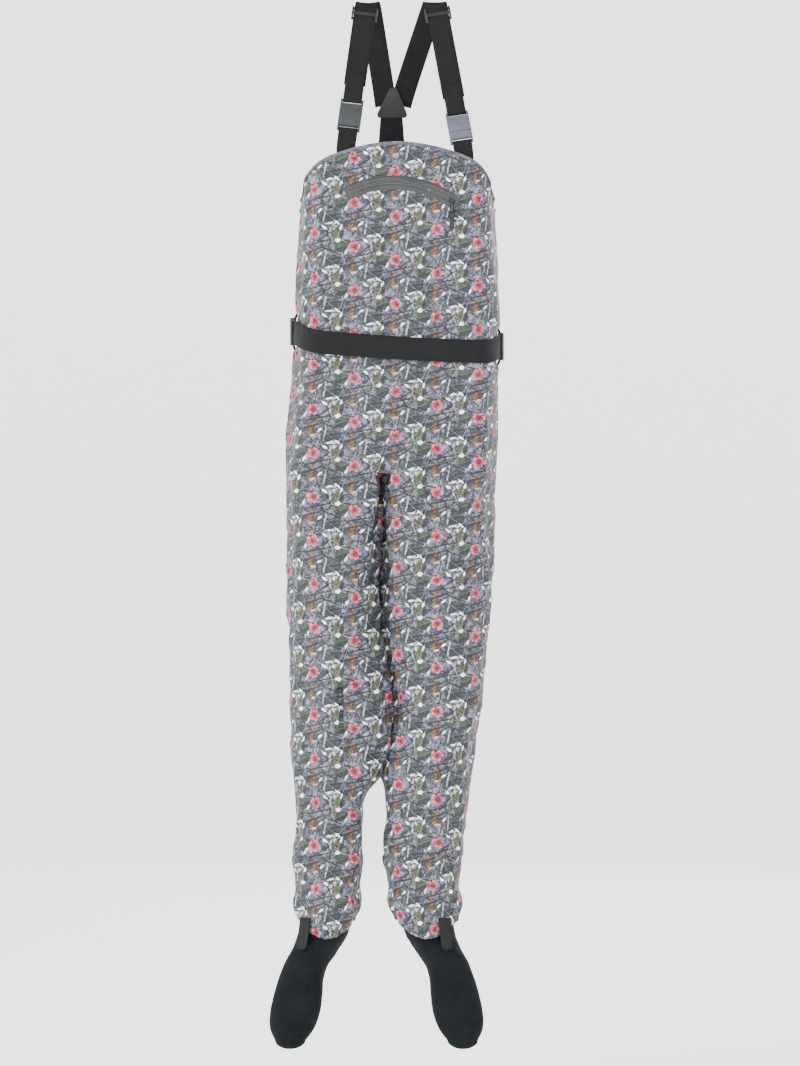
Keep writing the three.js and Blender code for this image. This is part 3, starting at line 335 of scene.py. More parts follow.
def drape(x, y, z):
    drop = -z
    low = step(300, 520, drop)
    side = x / 58, y / 58
    folds = 4.6 * noise.noise(Vector((*side, z / 330))) + 3.0 * crease(x / 74 + 3, y / 74, z / 420 + x / 900)
    folds += 2.1 * crease(x / 31 + z / 260 + 9, y / 34, z / 150)
    folds += 0.8 * noise.noise(Vector((x / 13 + z / 90, y / 15, z / 34)))
    folds *= mix(0.45, 1, low)
    away = abs(drop - belt_drop(x))
    gather = 1 - step(20, 95, away)
    if 480 < drop < 740:
        folds += gather * 1.9 * crease(x / 15 + 1.3, y / 17, z / 130)
    knee = step(930, 1010, drop) * (1 - step(1240, 1400, drop))
    folds += knee * 2.4 * crease((x + 0.5 * z) / 95, y / 60, (z - 0.32 * x) / 44)
    reach = math.hypot(x + 20, (drop - 832) * 0.8)
    crotch = (1 - step(30, 210, reach)) * step(700, 760, drop)
    turn = math.atan2(drop - 815, x + 20)
    folds += crotch * 3.6 * crease(turn * 3.1 + 0.4, y / 90, reach / 260)
    ankle = step(1380, 1490, drop)
    folds += ankle * 1.8 * crease(x / 42 + 4, y / 42, z / 30)
    folds = 1.5 * folds - 1.8
    if y < FRONT_FACE:
        folds += 4.5 * math.exp(-((x + 20) / 34) ** 2 - ((drop - 797) / 13) ** 2)
        folds -= 11 * math.exp(-((x + 20) / 24) ** 2 - ((drop - 829) / 17) ** 2)
    if away < 34:
        folds = min(folds, 1.5) - 1.2 * (1 - step(22, 34, away))
    if y < FRONT_FACE and abs(x) < 112 and 320 < drop < 480:
        folds = max(folds, -3.6)
    return folds * still_places(x, y, drop)


def trunk_top(face, column, columns):
    reference = resample(dense_outline(trunk_section(0), face), [column / columns])[0]
    return edge_drop(reference[0], face)


COLUMNS = 84
INNER_COLUMNS = 18


def trunk_grid(face):
    shares = [c / COLUMNS for c in range(COLUMNS + 1)]
    tops = [trunk_top(face, c, COLUMNS) for c in range(COLUMNS + 1)]
    rows = 112
    grid, cache = [], {}
    for r in range(rows + 1):
        row = []
        for c, top in enumerate(tops):
            drop = mix(top, CROTCH_DROP, r / rows)
            key = round(drop)
            if key not in cache:
                cache[key] = resample(dense_outline(trunk_section(key), face), shares)
            x, y = cache[key][c]
            row.append((x, y, -drop))
        grid.append(row)
    return grid


def inner_curve(side, face, edge_x):
    """The inner side of a leg's top, from the flat of the front or back round to the inseam."""
    left, right, depth, *_ = leg_section(side, CROTCH_DROP)
    seam = right if side == "left" else left
    out = []
    for i in range(INNER_COLUMNS + 1):
        turn = math.pi / 2 * (1 - i / INNER_COLUMNS)
        out.append((mix(seam, edge_x, 1 - math.cos(turn)), face * depth * math.sin(turn)))
    return out


def hook_seam(side, x, y, drop):
    """The two inseams follow one winding line, so that no light passes between them."""
    left, right, *_ = leg_section(side, drop)
    seam = right if side == "left" else left
    near = 1 - step(4, 26, abs(x - seam))
    shut = 1 - step(0.7, 0.79, (drop - CROTCH_DROP) / (LEG_END - CROTCH_DROP))
    start = step(0, 0.08, (drop - CROTCH_DROP) / (LEG_END - CROTCH_DROP))
    return x + 3.4 * near * shut * start * math.sin(y / 8)


def leg_grid(side, face, crotch_row, edge):
    """Rows of a leg's front or back; crotch_row is the trunk's last row there."""
    inner = inner_curve(side, face, crotch_row[edge][0])
    if side == "left":
        first = [p[:2] for p in crotch_row[:edge + 1]] + inner[1:]
    else:
        first = list(reversed(inner[1:])) + [p[:2] for p in crotch_row[edge:]]
    reach = lengths_along(first)
    shares = [r / reach[-1] for r in reach]
    grid = [[(x, y, -CROTCH_DROP) for x, y in first]]
    rows = 128
    for r in range(1, rows + 1):
        drop = mix(CROTCH_DROP, LEG_END, r / rows)
        row = resample(dense_outline(leg_section(side, drop), face), shares)
        ease = step(0, 6, r)
        row = [(mix(a[0], b[0], ease), mix(a[1], b[1], ease)) for a, b in zip(first, row)] if r < 6 else row
        grid.append([(hook_seam(side, x, y, drop), y, -drop) for x, y in row])
    return grid


def grid_faces(points, faces, uvs, grid, u_start, mirrored):
    """Adds a grid, with u along its rows in metres from u_start and v its height."""
    base, columns = len(points), len(grid[0])
    for row in grid:
        reach = lengths_along([p[:2] for p in row])
        middle = min(range(columns), key=lambda c: abs(row[c][0] - u_start))
        for c, p in enumerate(row):
            u = row[middle][0] + reach[c] - reach[middle]
            uvs.append(((900 - u if mirrored else u) * MM, p[2] * MM))
        points.extend(row)
    for r in range(len(grid) - 1):
        for c in range(columns - 1):
            a = base + r * columns + c
            quad = [a, a + columns, a + columns + 1, a + 1]
            faces.append(quad[::-1] if mirrored else quad)


def finish_cloth(piece, uvs, thickness, displacement=drape):
    mesh = piece.data
    layer = mesh.uv_layers.new(name="Cloth")
    for loop in mesh.loops:
        layer.data[loop.index].uv = uvs[loop.vertex_index]
    work = bmesh.new()
    work.from_mesh(mesh)
    bmesh.ops.remove_doubles(work, verts=work.verts, dist=0.02 * MM)
    work.normal_update()
    moves = [v.normal * displacement(*(v.co / MM)) * MM for v in work.verts]
    for vert, move in zip(work.verts, moves):
        vert.co += move
    bmesh.ops.smooth_vert(work, verts=[v for v in work.verts if not v.is_boundary], factor=0.3,
                          use_axis_x=True, use_axis_y=True, use_axis_z=True)
    work.to_mesh(mesh)
    work.free()
    mesh.update()
    area = sum(face.area for face in mesh.polygons)
    give_thickness(piece, thickness)
    return area


def give_thickness(piece, thickness):
    """Printed face outside, lining inside."""
    piece.data.materials.append(CAMO)
    piece.data.materials.append(LINING)
    apply_modifier(piece, "SOLIDIFY", thickness=thickness * MM, offset=-1, use_even_offset=False,
                   material_offset=1)
    smooth_all(piece)


def add_body():
    points, faces, uvs = [], [], []
    middles = {}
    for face in (-1, 1):
        trunk = trunk_grid(face)
        last = trunk[-1]
        seam = HALF_WIDTH * INSEAM[0][1]
        left_edge = max(c for c in range(COLUMNS + 1) if last[c][0] < seam - INNER_ROUND)
        right_edge = min(c for c in range(COLUMNS + 1) if last[c][0] > seam + INNER_ROUND)
        grid_faces(points, faces, uvs, trunk, 0, face > 0)
        grid_faces(points, faces, uvs, leg_grid("left", face, last, left_edge), -100, face > 0)
        grid_faces(points, faces, uvs, leg_grid("right", face, last, right_edge), 70, face > 0)
        middles[face] = (left_edge, right_edge, last)
    rows = []
    for face in (-1, 1):
        left_edge, right_edge, last = middles[face]
        left = inner_curve("left", face, last[left_edge][0])
        right = inner_curve("right", face, last[right_edge][0])
        span = right_edge - left_edge
        rows.append([[(mix(a[0], b[0], i / span), mix(a[1], b[1], i / span), -CROTCH_DROP)
                      for i in range(span + 1)] for a, b in zip(left, right)])
    front, back = rows
    base = len(points)
    gusset = front + list(reversed(back))[1:]
    span = len(gusset[0])
    for row in gusset:
        points.extend(row)
        uvs.extend((p[0] * MM, (p[1] - 830) * MM) for p in row)
    for r in range(len(gusset) - 1):
        for c in range(span - 1):
            a = base + r * span + c
            faces.append([a, a + span, a + span + 1, a + 1])
    body = new_piece("wader_body", points, faces)
    area = finish_cloth(body, uvs, FABRIC)
    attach(body, "root")
    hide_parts("bib_front_panel", "bib_back_panel", "crotch_gusset", "left_leg_front_panel",
                "left_leg_back_panel", "right_leg_front_panel", "right_leg_back_panel")


# ---- Gaiters: the leg's gathered end, with elastic inside its hem ----
def gather(side, x, y, drop, share):
    """Ripples of the gathered hem, which bulge a little above the elastic."""
    centre, _ = LEGS[side]["hem"]
    turn = math.atan2(y, x - centre)
    wave = turn * 6.2 + 0.9 * noise.noise(Vector((turn * 1.7, share * 1.6, centre)))
    ripple = math.sin(wave * 2.3) + 0.7 * math.sin(wave * 3.9 + 1.7 + share)
    fine = noise.noise(Vector((x / 9, y / 9, drop / 30)))
    strength = step(0.42, 0.94, share)
    bulge = 5.2 * step(0.45, 0.74, share) * (1 - step(0.8, 0.97, share))
    pinch = 1.6 * step(0.86, 0.98, share)
    return strength * (1.25 * ripple + 1.6 * fine) + bulge - pinch


def gaiter_rings(side, shares, columns, inset, lap=0):
    rows = []
    for share in shares:
        ring = closed_ring(gaiter_section(side, max(0, share)), columns)
        row = []
        for i, (x, y) in enumerate(ring):
            drop = hem_drop(side, x, y, max(0, share)) + min(0, share) * 100
            before, after = ring[i - 1], ring[(i + 1) % len(ring)]
            dx, dy = after[0] - before[0], after[1] - before[1]
            size = math.hypot(dx, dy)
            out_x, out_y = dy / size, -dx / size
            blend = step(0, 0.3, share)
            push = drape(x, y, -drop) * (1 - 0.6 * blend) + gather(side, x, y, drop, max(0, share))
            seat = min(math.dist((x, y), s) for s in tab_seats(side))
            push = min(push, mix(0.4, push, step(14, 30, seat))) if share > 0.35 else push
            push += lap - inset
            row.append((x + out_x * push, y + out_y * push, -drop))
        rows.append(row)
    return rows


def tab_seats(side):
    return [(-157, -40.5)] if side == "left" else [(84, -45)]


def ring_faces(rows, count):
    """Faces that join closed rings of points, one ring to the next."""
    faces = []
    for r in range(rows):
        for c in range(count):
            a, b = r * count + c, r * count + (c + 1) % count
            faces.append([a, a + count, b + count, b])
    return faces


def closed_ring(section, columns, inset=0):
    """Evenly spaced points round a whole section, its front first."""
    shares = [c / columns for c in range(columns + 1)]
    front, back = (resample(dense_outline(section, face, inset), shares) for face in (-1, 1))
    return front + back[::-1][1:-1]


def add_gaiter(side):
    columns, rows = 128, 52
    shares = [-0.06 + 1.06 * r / rows for r in range(rows + 1)]
    grid = gaiter_rings(side, shares, columns, 0, lap=0.9)
    count = 2 * columns
    points = [p for row in grid for p in row]
    faces = ring_faces(rows, count)
    piece = new_piece(f"{side}_gaiter_cloth", points, faces)
    layer = piece.data.uv_layers.new(name="Cloth")
    middle = LEGS[side]["hem"][0]
    span = 0.5 * sum(math.dist(a, b) for a, b in zip(grid[0], grid[0][1:] + grid[0][:1]))
    for face in piece.data.polygons:
        for loop in face.loop_indices:
            index = piece.data.loops[loop].vertex_index
            column = index % count
            if column == 0 and face.index % count == count - 1:
                column = count
            u = middle + (column / columns - 0.5) * span
            layer.data[loop].uv = (u * MM, points[index][2] * MM)
    give_thickness(piece, FABRIC)
    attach(piece, "root")
    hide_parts(f"{side}_gaiter")


def add_gaiter_elastic(side):
    columns, rows = 90, 8
    shares = [mix(0.88, 0.985, r / rows) for r in range(rows + 1)]
    grid = gaiter_rings(side, shares, columns, 2.1)
    count = 2 * columns
    points = [p for row in grid for p in row]
    faces = ring_faces(rows, count)
    piece = new_piece(f"{side}_hem_elastic", points, faces)
    apply_modifier(piece, "SOLIDIFY", thickness=1.2 * MM, offset=-1)
    smooth_all(piece)
    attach(piece, "root")
    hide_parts(f"{side}_gaiter_elastic")
    piece.data.materials.append(ELASTIC)


# ---- Neoprene socks: the top stands up inside the leg, the foot tilts forward ----
def sock_ring(side, at):
    """Centre, half width, half depth and tilt of the foot at a share of its length."""
    values = [smooth([[ring[0], ring[i]] for ring in SOCK_RINGS], at) for i in range(1, 6)]
    out, half, y, depth, tilt = values
    centre, away = LEGS[side]["hem"][0], LEGS[side]["away"]
    return centre + away * out, half, y, depth, math.radians(tilt)


def add_sock(side):
    columns = 96
    centre, away = LEGS[side]["hem"][0], LEGS[side]["away"]
    rows = []
    for drop in (LEG_END - 22, LEG_END - 8, LEG_END):
        ring = closed_ring(leg_section(side, drop), columns // 2, FABRIC + SOCK_CLEARANCE)
        rows.append([(x, y, -drop) for x, y in ring])
    steps = 64
    for i in range(steps + 1):
        at = SOCK_RINGS[-1][0] * i / steps
        x0, half, y0, depth, tilt = sock_ring(side, at)
        row = []
        for c in range(columns):
            turn = math.pi - c / columns * 2 * math.pi
            reach = -math.sin(turn) * depth
            wrinkle = 0.9 * noise.noise(Vector((turn * 1.4, at * 21, away * 3))) * step(0.04, 0.2, at)
            wrinkle *= 1 - step(0.42, 0.6, at)
            x = x0 + math.cos(turn) * (half + wrinkle)
            row.append((x, y0 + reach * math.cos(tilt),
                        -(HEM_DROP + at * SOCK_LENGTH) - reach * math.sin(tilt)))
        rows.append(row)
    tip = Vector((centre + away * SOCK_TIP[0], SOCK_TIP[1], -(HEM_DROP + SOCK_LENGTH)))
    last = rows[-1]
    middle = Vector(tuple(sum(p[i] for p in last) / columns for i in range(3)))
    for i in range(1, 9):
        turn = math.pi / 2 * i / 9
        row = []
        for p in last:
            arm = Vector(p) - middle
            row.append(tuple(middle + arm * math.cos(turn) + (tip - middle) * math.sin(turn)))
        rows.append(row)
    points = [p for row in rows for p in row] + [tuple(tip)]
    faces = ring_faces(len(rows) - 1, columns)
    end = (len(rows) - 1) * columns
    faces += [[end + c, len(points) - 1, end + (c + 1) % columns] for c in range(columns)]
    piece = new_piece(f"{side}_sock", points, faces)
    add_sock_seam(piece, columns, len(rows))
    apply_modifier(piece, "SOLIDIFY", thickness=NEOPRENE * MM, offset=-1)
    smooth_all(piece)
    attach(piece, "root")
    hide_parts(f"{side}_neoprene_sock")
    piece.data.materials.append(NEOPRENE_SKIN)


def add_sock_seam(piece, columns, rows):
    """A glued seam: a low ridge down the inner and outer side of the foot."""
    mesh = piece.data
    for index in range(columns * rows):
        column = index % columns
        side = min(abs(column - s) for s in (0, columns // 2, columns))
        lift = 0.7 if side == 0 else -0.25 if side == 1 else 0
        vert = mesh.vertices[index]
        vert.co += mesh.vertices[index].normal * lift * MM


# ---- Building node trees ----
def put(tree, socket, value):
    """Links an output socket to an input, or sets the input to a number or colour."""
    if isinstance(value, bpy.types.NodeSocket):
        tree.links.new(value, socket)
    elif value is not None:
        socket.default_value = value


def calc(tree, operation, *values):
    node = tree.nodes.new("ShaderNodeMath")
    node.operation = operation
    for socket, value in zip(node.inputs, values):
        put(tree, socket, value)
    return node.outputs[0]


def plus(tree, a, b):
    return calc(tree, "ADD", a, b)


def minus(tree, a, b):
    return calc(tree, "SUBTRACT", a, b)


def times(tree, a, b):
    return calc(tree, "MULTIPLY", a, b)


def parts_of(tree, vector):
    node = tree.nodes.new("ShaderNodeSeparateXYZ")
    put(tree, node.inputs[0], vector)
    return node.outputs


def ranged(tree, value, low, high, to_low=0.0, to_high=1.0):
    node = tree.nodes.new("ShaderNodeMapRange")
    node.interpolation_type = "SMOOTHSTEP"
    labels = ("Value", "From Min", "From Max", "To Min", "To Max")
    for label, number in zip(labels, (value, low, high, to_low, to_high)):
        put(tree, node.inputs[label], number)
    return node.outputs[0]


def cell_edges(tree, vector, scale):
    node = tree.nodes.new("ShaderNodeTexVoronoi")
    node.feature = "DISTANCE_TO_EDGE"
    node.inputs["Scale"].default_value = scale
    put(tree, node.inputs["Vector"], vector)
    return node.outputs["Distance"]


def blend_colour(tree, factor, a, b, mode="MIX"):
    node = tree.nodes.new("ShaderNodeMix")
    node.data_type, node.blend_type = "RGBA", mode
    put(tree, node.inputs[0], factor)
    put(tree, node.inputs[6], a)
    put(tree, node.inputs[7], b)
    return node.outputs[2]


def noise_value(tree, vector, scale, detail=2.0, roughness=0.5, distortion=0.0, output="Fac"):
    node = tree.nodes.new("ShaderNodeTexNoise")
    put(tree, node.inputs["Vector"], vector)
    node.inputs["Scale"].default_value = scale
    node.inputs["Detail"].default_value = detail
    node.inputs["Roughness"].default_value = roughness
    node.inputs["Distortion"].default_value = distortion
    return node.outputs[output]


STUDIO_LEVEL = 2.0             # how brightly the studio lights the cloth


def colour(red, green, blue):
    """Reflectance that shows as these values out of 255 in the studio's light."""
    middle = (red + green + blue) / 3

    def reflectance(value):
        shown = min(0.97, max(0.01, (middle + (value - middle) * 1.15) / 255))
        return min(0.92, 0.218 * (shown / (1 - shown)) ** 1.25 / STUDIO_LEVEL)
    return (reflectance(red), reflectance(green), reflectance(blue), 1)


def toned(base, factor, added=0):
    return tuple(min(1, c * factor + added) for c in base[:3]) + (1,)


def new_group(name, inputs, outputs):
    tree = bpy.data.node_groups.new(name, "ShaderNodeTree")
    for label, kind, default in inputs:
        socket = tree.interface.new_socket(label, in_out="INPUT", socket_type=kind)
        if default is not None:
            socket.default_value = default
    for label, kind in outputs:
        tree.interface.new_socket(label, in_out="OUTPUT", socket_type=kind)
    return tree, tree.nodes.new("NodeGroupInput"), tree.nodes.new("NodeGroupOutput")


def use_group(tree, group, **values):
    node = tree.nodes.new("ShaderNodeGroup")
    node.node_tree = group
    for name, value in values.items():
        put(tree, node.inputs[name.replace("_", " ")], value)
    return node


FLOAT, VECTOR, RGBA = "NodeSocketFloat", "NodeSocketVector", "NodeSocketColor"
STAMP_PLACE = [("Place", VECTOR, None), ("Right", FLOAT, 0.0), ("Up", FLOAT, 0.0)]


# ---- The print: stamps repeated on a slanted lattice, in millimetres of cloth ----
REPEAT_ACROSS, REPEAT_DOWN, COLUMN_FALL = 71.5, 76.0, 23.0


def build_lattice():
    """Distance of a point from the nearest repeat of a stamp's centre."""
    tree, start, end = new_group("Repeat", [*STAMP_PLACE, ("Turn", FLOAT, 0.0)],
                                 [("Along", FLOAT), ("Across", FLOAT)])
    split = parts_of(tree, start.outputs["Place"])
    right = minus(tree, split[0], start.outputs["Right"])
    column = calc(tree, "ROUND", calc(tree, "DIVIDE", right, REPEAT_ACROSS))
    right = minus(tree, right, times(tree, column, REPEAT_ACROSS))
    up = minus(tree, split[1], start.outputs["Up"])
    up = plus(tree, up, times(tree, column, COLUMN_FALL))
    up = minus(tree, up, times(tree, calc(tree, "ROUND", calc(tree, "DIVIDE", up, REPEAT_DOWN)), REPEAT_DOWN))
    cosine, sine = calc(tree, "COSINE", start.outputs["Turn"]), calc(tree, "SINE", start.outputs["Turn"])
    along = plus(tree, times(tree, right, cosine), times(tree, up, sine))
    across = minus(tree, times(tree, up, cosine), times(tree, right, sine))
    put(tree, end.inputs["Along"], along)
    put(tree, end.inputs["Across"], across)
    return tree


def build_leaf(lattice):
    """A pointed leaf or twig with a midrib; Shade is 1 on its dark half."""
    tree, start, end = new_group("Leaf", [*STAMP_PLACE, ("Turn", FLOAT, 0.0), ("Half Length", FLOAT, 10.0),
                                          ("Half Width", FLOAT, 5.0), ("Point", FLOAT, 1.0)],
                                 [("Mask", FLOAT), ("Outline", FLOAT), ("Shade", FLOAT), ("Vein", FLOAT)])
    place = use_group(tree, lattice, Place=start.outputs["Place"], Right=start.outputs["Right"],
                      Up=start.outputs["Up"], Turn=start.outputs["Turn"])
    along = calc(tree, "DIVIDE", place.outputs["Along"], start.outputs["Half Length"])
    across = calc(tree, "DIVIDE", place.outputs["Across"], start.outputs["Half Width"])
    rest = calc(tree, "MAXIMUM", minus(tree, 1.0, times(tree, along, along)), 0.0)
    profile = calc(tree, "POWER", rest, start.outputs["Point"])
    depth = minus(tree, profile, calc(tree, "ABSOLUTE", across))
    inside = times(tree, depth, start.outputs["Half Width"])
    put(tree, end.inputs["Mask"], ranged(tree, inside, -0.3, 0.35))
    put(tree, end.inputs["Outline"], minus(tree, ranged(tree, inside, -1.5, -0.7), ranged(
        tree, inside, -0.3, 0.4)))
    put(tree, end.inputs["Shade"], ranged(tree, across, -0.25, 0.35))
    away = calc(tree, "ABSOLUTE", place.outputs["Across"])
    slant = plus(tree, times(tree, place.outputs["Along"], 1.1), times(tree, away, -0.9))
    ribs = calc(tree, "ABSOLUTE", calc(tree, "SINE", slant))
    rib = minus(tree, 1.0, ranged(tree, ribs, 0.0, 0.35))
    middle = minus(tree, 1.0, ranged(tree, away, 0.25, 0.8))
    put(tree, end.inputs["Vein"], calc(tree, "MAXIMUM", middle, times(tree, rib, 0.45)))
    return tree


def build_flower(lattice):
    """Five petals: Mask, a dark heart and pale tips."""
    tree, start, end = new_group("Flower", [*STAMP_PLACE, ("Size", FLOAT, 12.0)],
                                 [("Mask", FLOAT), ("Heart", FLOAT), ("Tips", FLOAT), ("Petals", FLOAT)])
    place = use_group(tree, lattice, Place=start.outputs["Place"], Right=start.outputs["Right"],
                      Up=start.outputs["Up"])
    along, across = place.outputs["Along"], place.outputs["Across"]
    reach = calc(tree, "SQRT", plus(tree, times(tree, along, along), times(tree, across, across)))
    turn = calc(tree, "ARCTAN2", across, along)
    lobes = calc(tree, "ABSOLUTE", calc(tree, "COSINE", times(tree, turn, 2.5)))
    petals = plus(tree, 0.55, times(tree, calc(tree, "POWER", lobes, 0.6), 0.45))
    edge = times(tree, start.outputs["Size"], petals)
    put(tree, end.inputs["Mask"], ranged(tree, minus(tree, edge, reach), -0.4, 0.6))
    put(tree, end.inputs["Heart"], minus(tree, 1.0, ranged(tree, reach, 2.2, 5.5)))
    put(tree, end.inputs["Tips"], ranged(tree, calc(tree, "DIVIDE", reach, edge), 0.62, 0.98))
    put(tree, end.inputs["Petals"], minus(tree, 1.0, ranged(tree, lobes, 0.1, 0.5)))
    return tree


def build_weave():
    """Plain weave: raised where one thread passes over another."""
    tree, start, end = new_group("Weave", [STAMP_PLACE[0], ("Across", FLOAT, 1.0), ("Down", FLOAT, 1.0)],
                                 [("Height", FLOAT)])
    split = parts_of(tree, start.outputs["Place"])
    warp = calc(tree, "SINE", times(tree, split[0], start.outputs["Across"]))
    weft = calc(tree, "SINE", times(tree, split[1], start.outputs["Down"]))
    put(tree, end.inputs["Height"], calc(tree, "MULTIPLY_ADD", times(tree, warp, weft), 0.5, 0.5))
    return tree


repeat_group = build_lattice()
leaf_group = build_leaf(repeat_group)
flower_group = build_flower(repeat_group)
weave_group = build_weave()


# ---- Materials ----
def new_material(name, roughness, **sockets):
    material = bpy.data.materials.new(name)
    material.use_nodes = True
    tree = material.node_tree
    shader = tree.nodes["Principled BSDF"]
    shader.inputs["Roughness"].default_value = roughness
    for label, value in sockets.items():
        shader.inputs[label.replace("_", " ")].default_value = value
    return material, tree, shader


def object_place(tree):
    """The place on the object, in millimetres."""
    return scaled(tree, tree.nodes.new("ShaderNodeTexCoord").outputs["Object"], 1 / MM)


def scaled(tree, place, scale):
    node = tree.nodes.new("ShaderNodeVectorMath")
    node.operation = "SCALE"
    put(tree, node.inputs[0], place)
    node.inputs["Scale"].default_value = scale
    return node.outputs[0]


def vector_sum(tree, operation, a, b):
    node = tree.nodes.new("ShaderNodeVectorMath")
    node.operation = operation
    put(tree, node.inputs[0], a)
    put(tree, node.inputs[1], b)
    return node.outputs[0]


def cloth_place(tree):
    node = tree.nodes.new("ShaderNodeUVMap")
    node.uv_map = "Cloth"
    return scaled(tree, node.outputs[0], 1 / MM)


def add_bump(tree, shader, height, distance, strength):
    node = tree.nodes.new("ShaderNodeBump")
    node.inputs["Distance"].default_value = distance
    node.inputs["Strength"].default_value = strength
    put(tree, node.inputs["Height"], height)
    put(tree, shader.inputs["Normal"], node.outputs[0])


def wobble(tree, place, scale, amount):
    """The place, moved about a little, for hand-drawn edges."""
    shift = noise_value(tree, place, scale, 3.0, output="Color")
    shift = vector_sum(tree, "SUBTRACT", shift, (0.5, 0.5, 0.5))
    return vector_sum(tree, "ADD", place, scaled(tree, shift, amount))


# Leaves: right, up, turn in degrees, half length, half width, point, light side, dark side, then how
# strong the veins and the outline are. An outline under 0 is dark.
LEAVES = [
    (-36, 27, 68, 11, 7.5, 0.8, (140, 124, 114), (92, 78, 72), 0.3, 0.5),
    (-9, -20, -42, 11, 5.4, 0.9, (124, 126, 136), (72, 76, 84), 0.2, -0.8),
    (30, 29, 6, 18, 10.5, 0.45, (78, 90, 98), (50, 60, 66), 0.06, -0.3),
    (23, 34, -14, 13, 6.5, 0.6, (66, 78, 84), (44, 54, 60), 0.05, 0.0),
    (25, -17, 78, 13, 6, 0.9, (120, 122, 122), (68, 72, 68), 0.25, 0.6),
    (35, -22, 96, 12, 5.4, 0.9, (138, 140, 148), (84, 88, 92), 0.2, -0.8),
    (-24, 0, 20, 12.5, 9, 0.6, (74, 92, 74), (38, 54, 44), 0.15, -0.4),
    (38, 13, 70, 7.5, 5.6, 0.7, (196, 204, 200), (140, 150, 146), 0.3, -0.7),
    (44, 0, 82, 11.5, 8.4, 0.65, (92, 98, 62), (56, 62, 40), 0.15, -0.5),
    (-3, 41, 74, 11.5, 9, 0.6, (152, 114, 72), (100, 74, 48), 0.2, -0.5),
    (-1, 30.5, 8, 6, 2.2, 0.8, (206, 196, 176), (170, 156, 132), 0.0, 0.0),
    (12, -28, 28, 11, 5.2, 0.8, (108, 114, 122), (62, 68, 76), 0.2, -0.8),
    (14, 16, -60, 9, 4.4, 0.9, (74, 86, 84), (44, 54, 54), 0.15, -0.5),
    (-17, -34, 12, 12, 5.6, 0.6, (80, 90, 104), (54, 62, 74), 0.1, 0.0),
]
# Twigs: right, up, turn, half length, half width.
TWIGS = [
    (-17, 35, -42, 23, 3.0), (6, 60, 12, 27, 1.5), (20, -4, 34, 18, 1.4), (-8, -31, 16, 25, 1.5),
    (30, 46, -22, 21, 1.5), (-27, 14, 56, 16, 1.3), (4, 20, 78, 14, 1.2), (-14, 11, -12, 18, 1.4),
    (22, 6, -66, 13, 1.3), (-30, -20, 8, 19, 1.5), (10, -14, -34, 15, 1.2), (-30, 40, 22, 14, 1.3),
    (48, 22, 40, 13, 1.3), (18, 52, -50, 12, 1.2),
]
# White flecks: right, up, turn, half length, half width.
FLECKS = [(19, 10, -35, 5.4, 2.2), (42, -12, 10, 5.0, 3.6), (-30, 42, -38, 6, 1.6), (-15, -9, 62, 5.4, 1.6),
          (11, -36, 40, 5, 1.8), (27, 18, 12, 6, 1.5), (48, 11, 70, 5, 1.8)]


def stamp(tree, place, row):
    right, up, turn, half_length, half_width, *point = row
    return use_group(tree, leaf_group, Place=place, Right=right, Up=up, Turn=math.radians(turn),
                     Half_Length=half_length, Half_Width=half_width, Point=point[0] if point else 0.8)


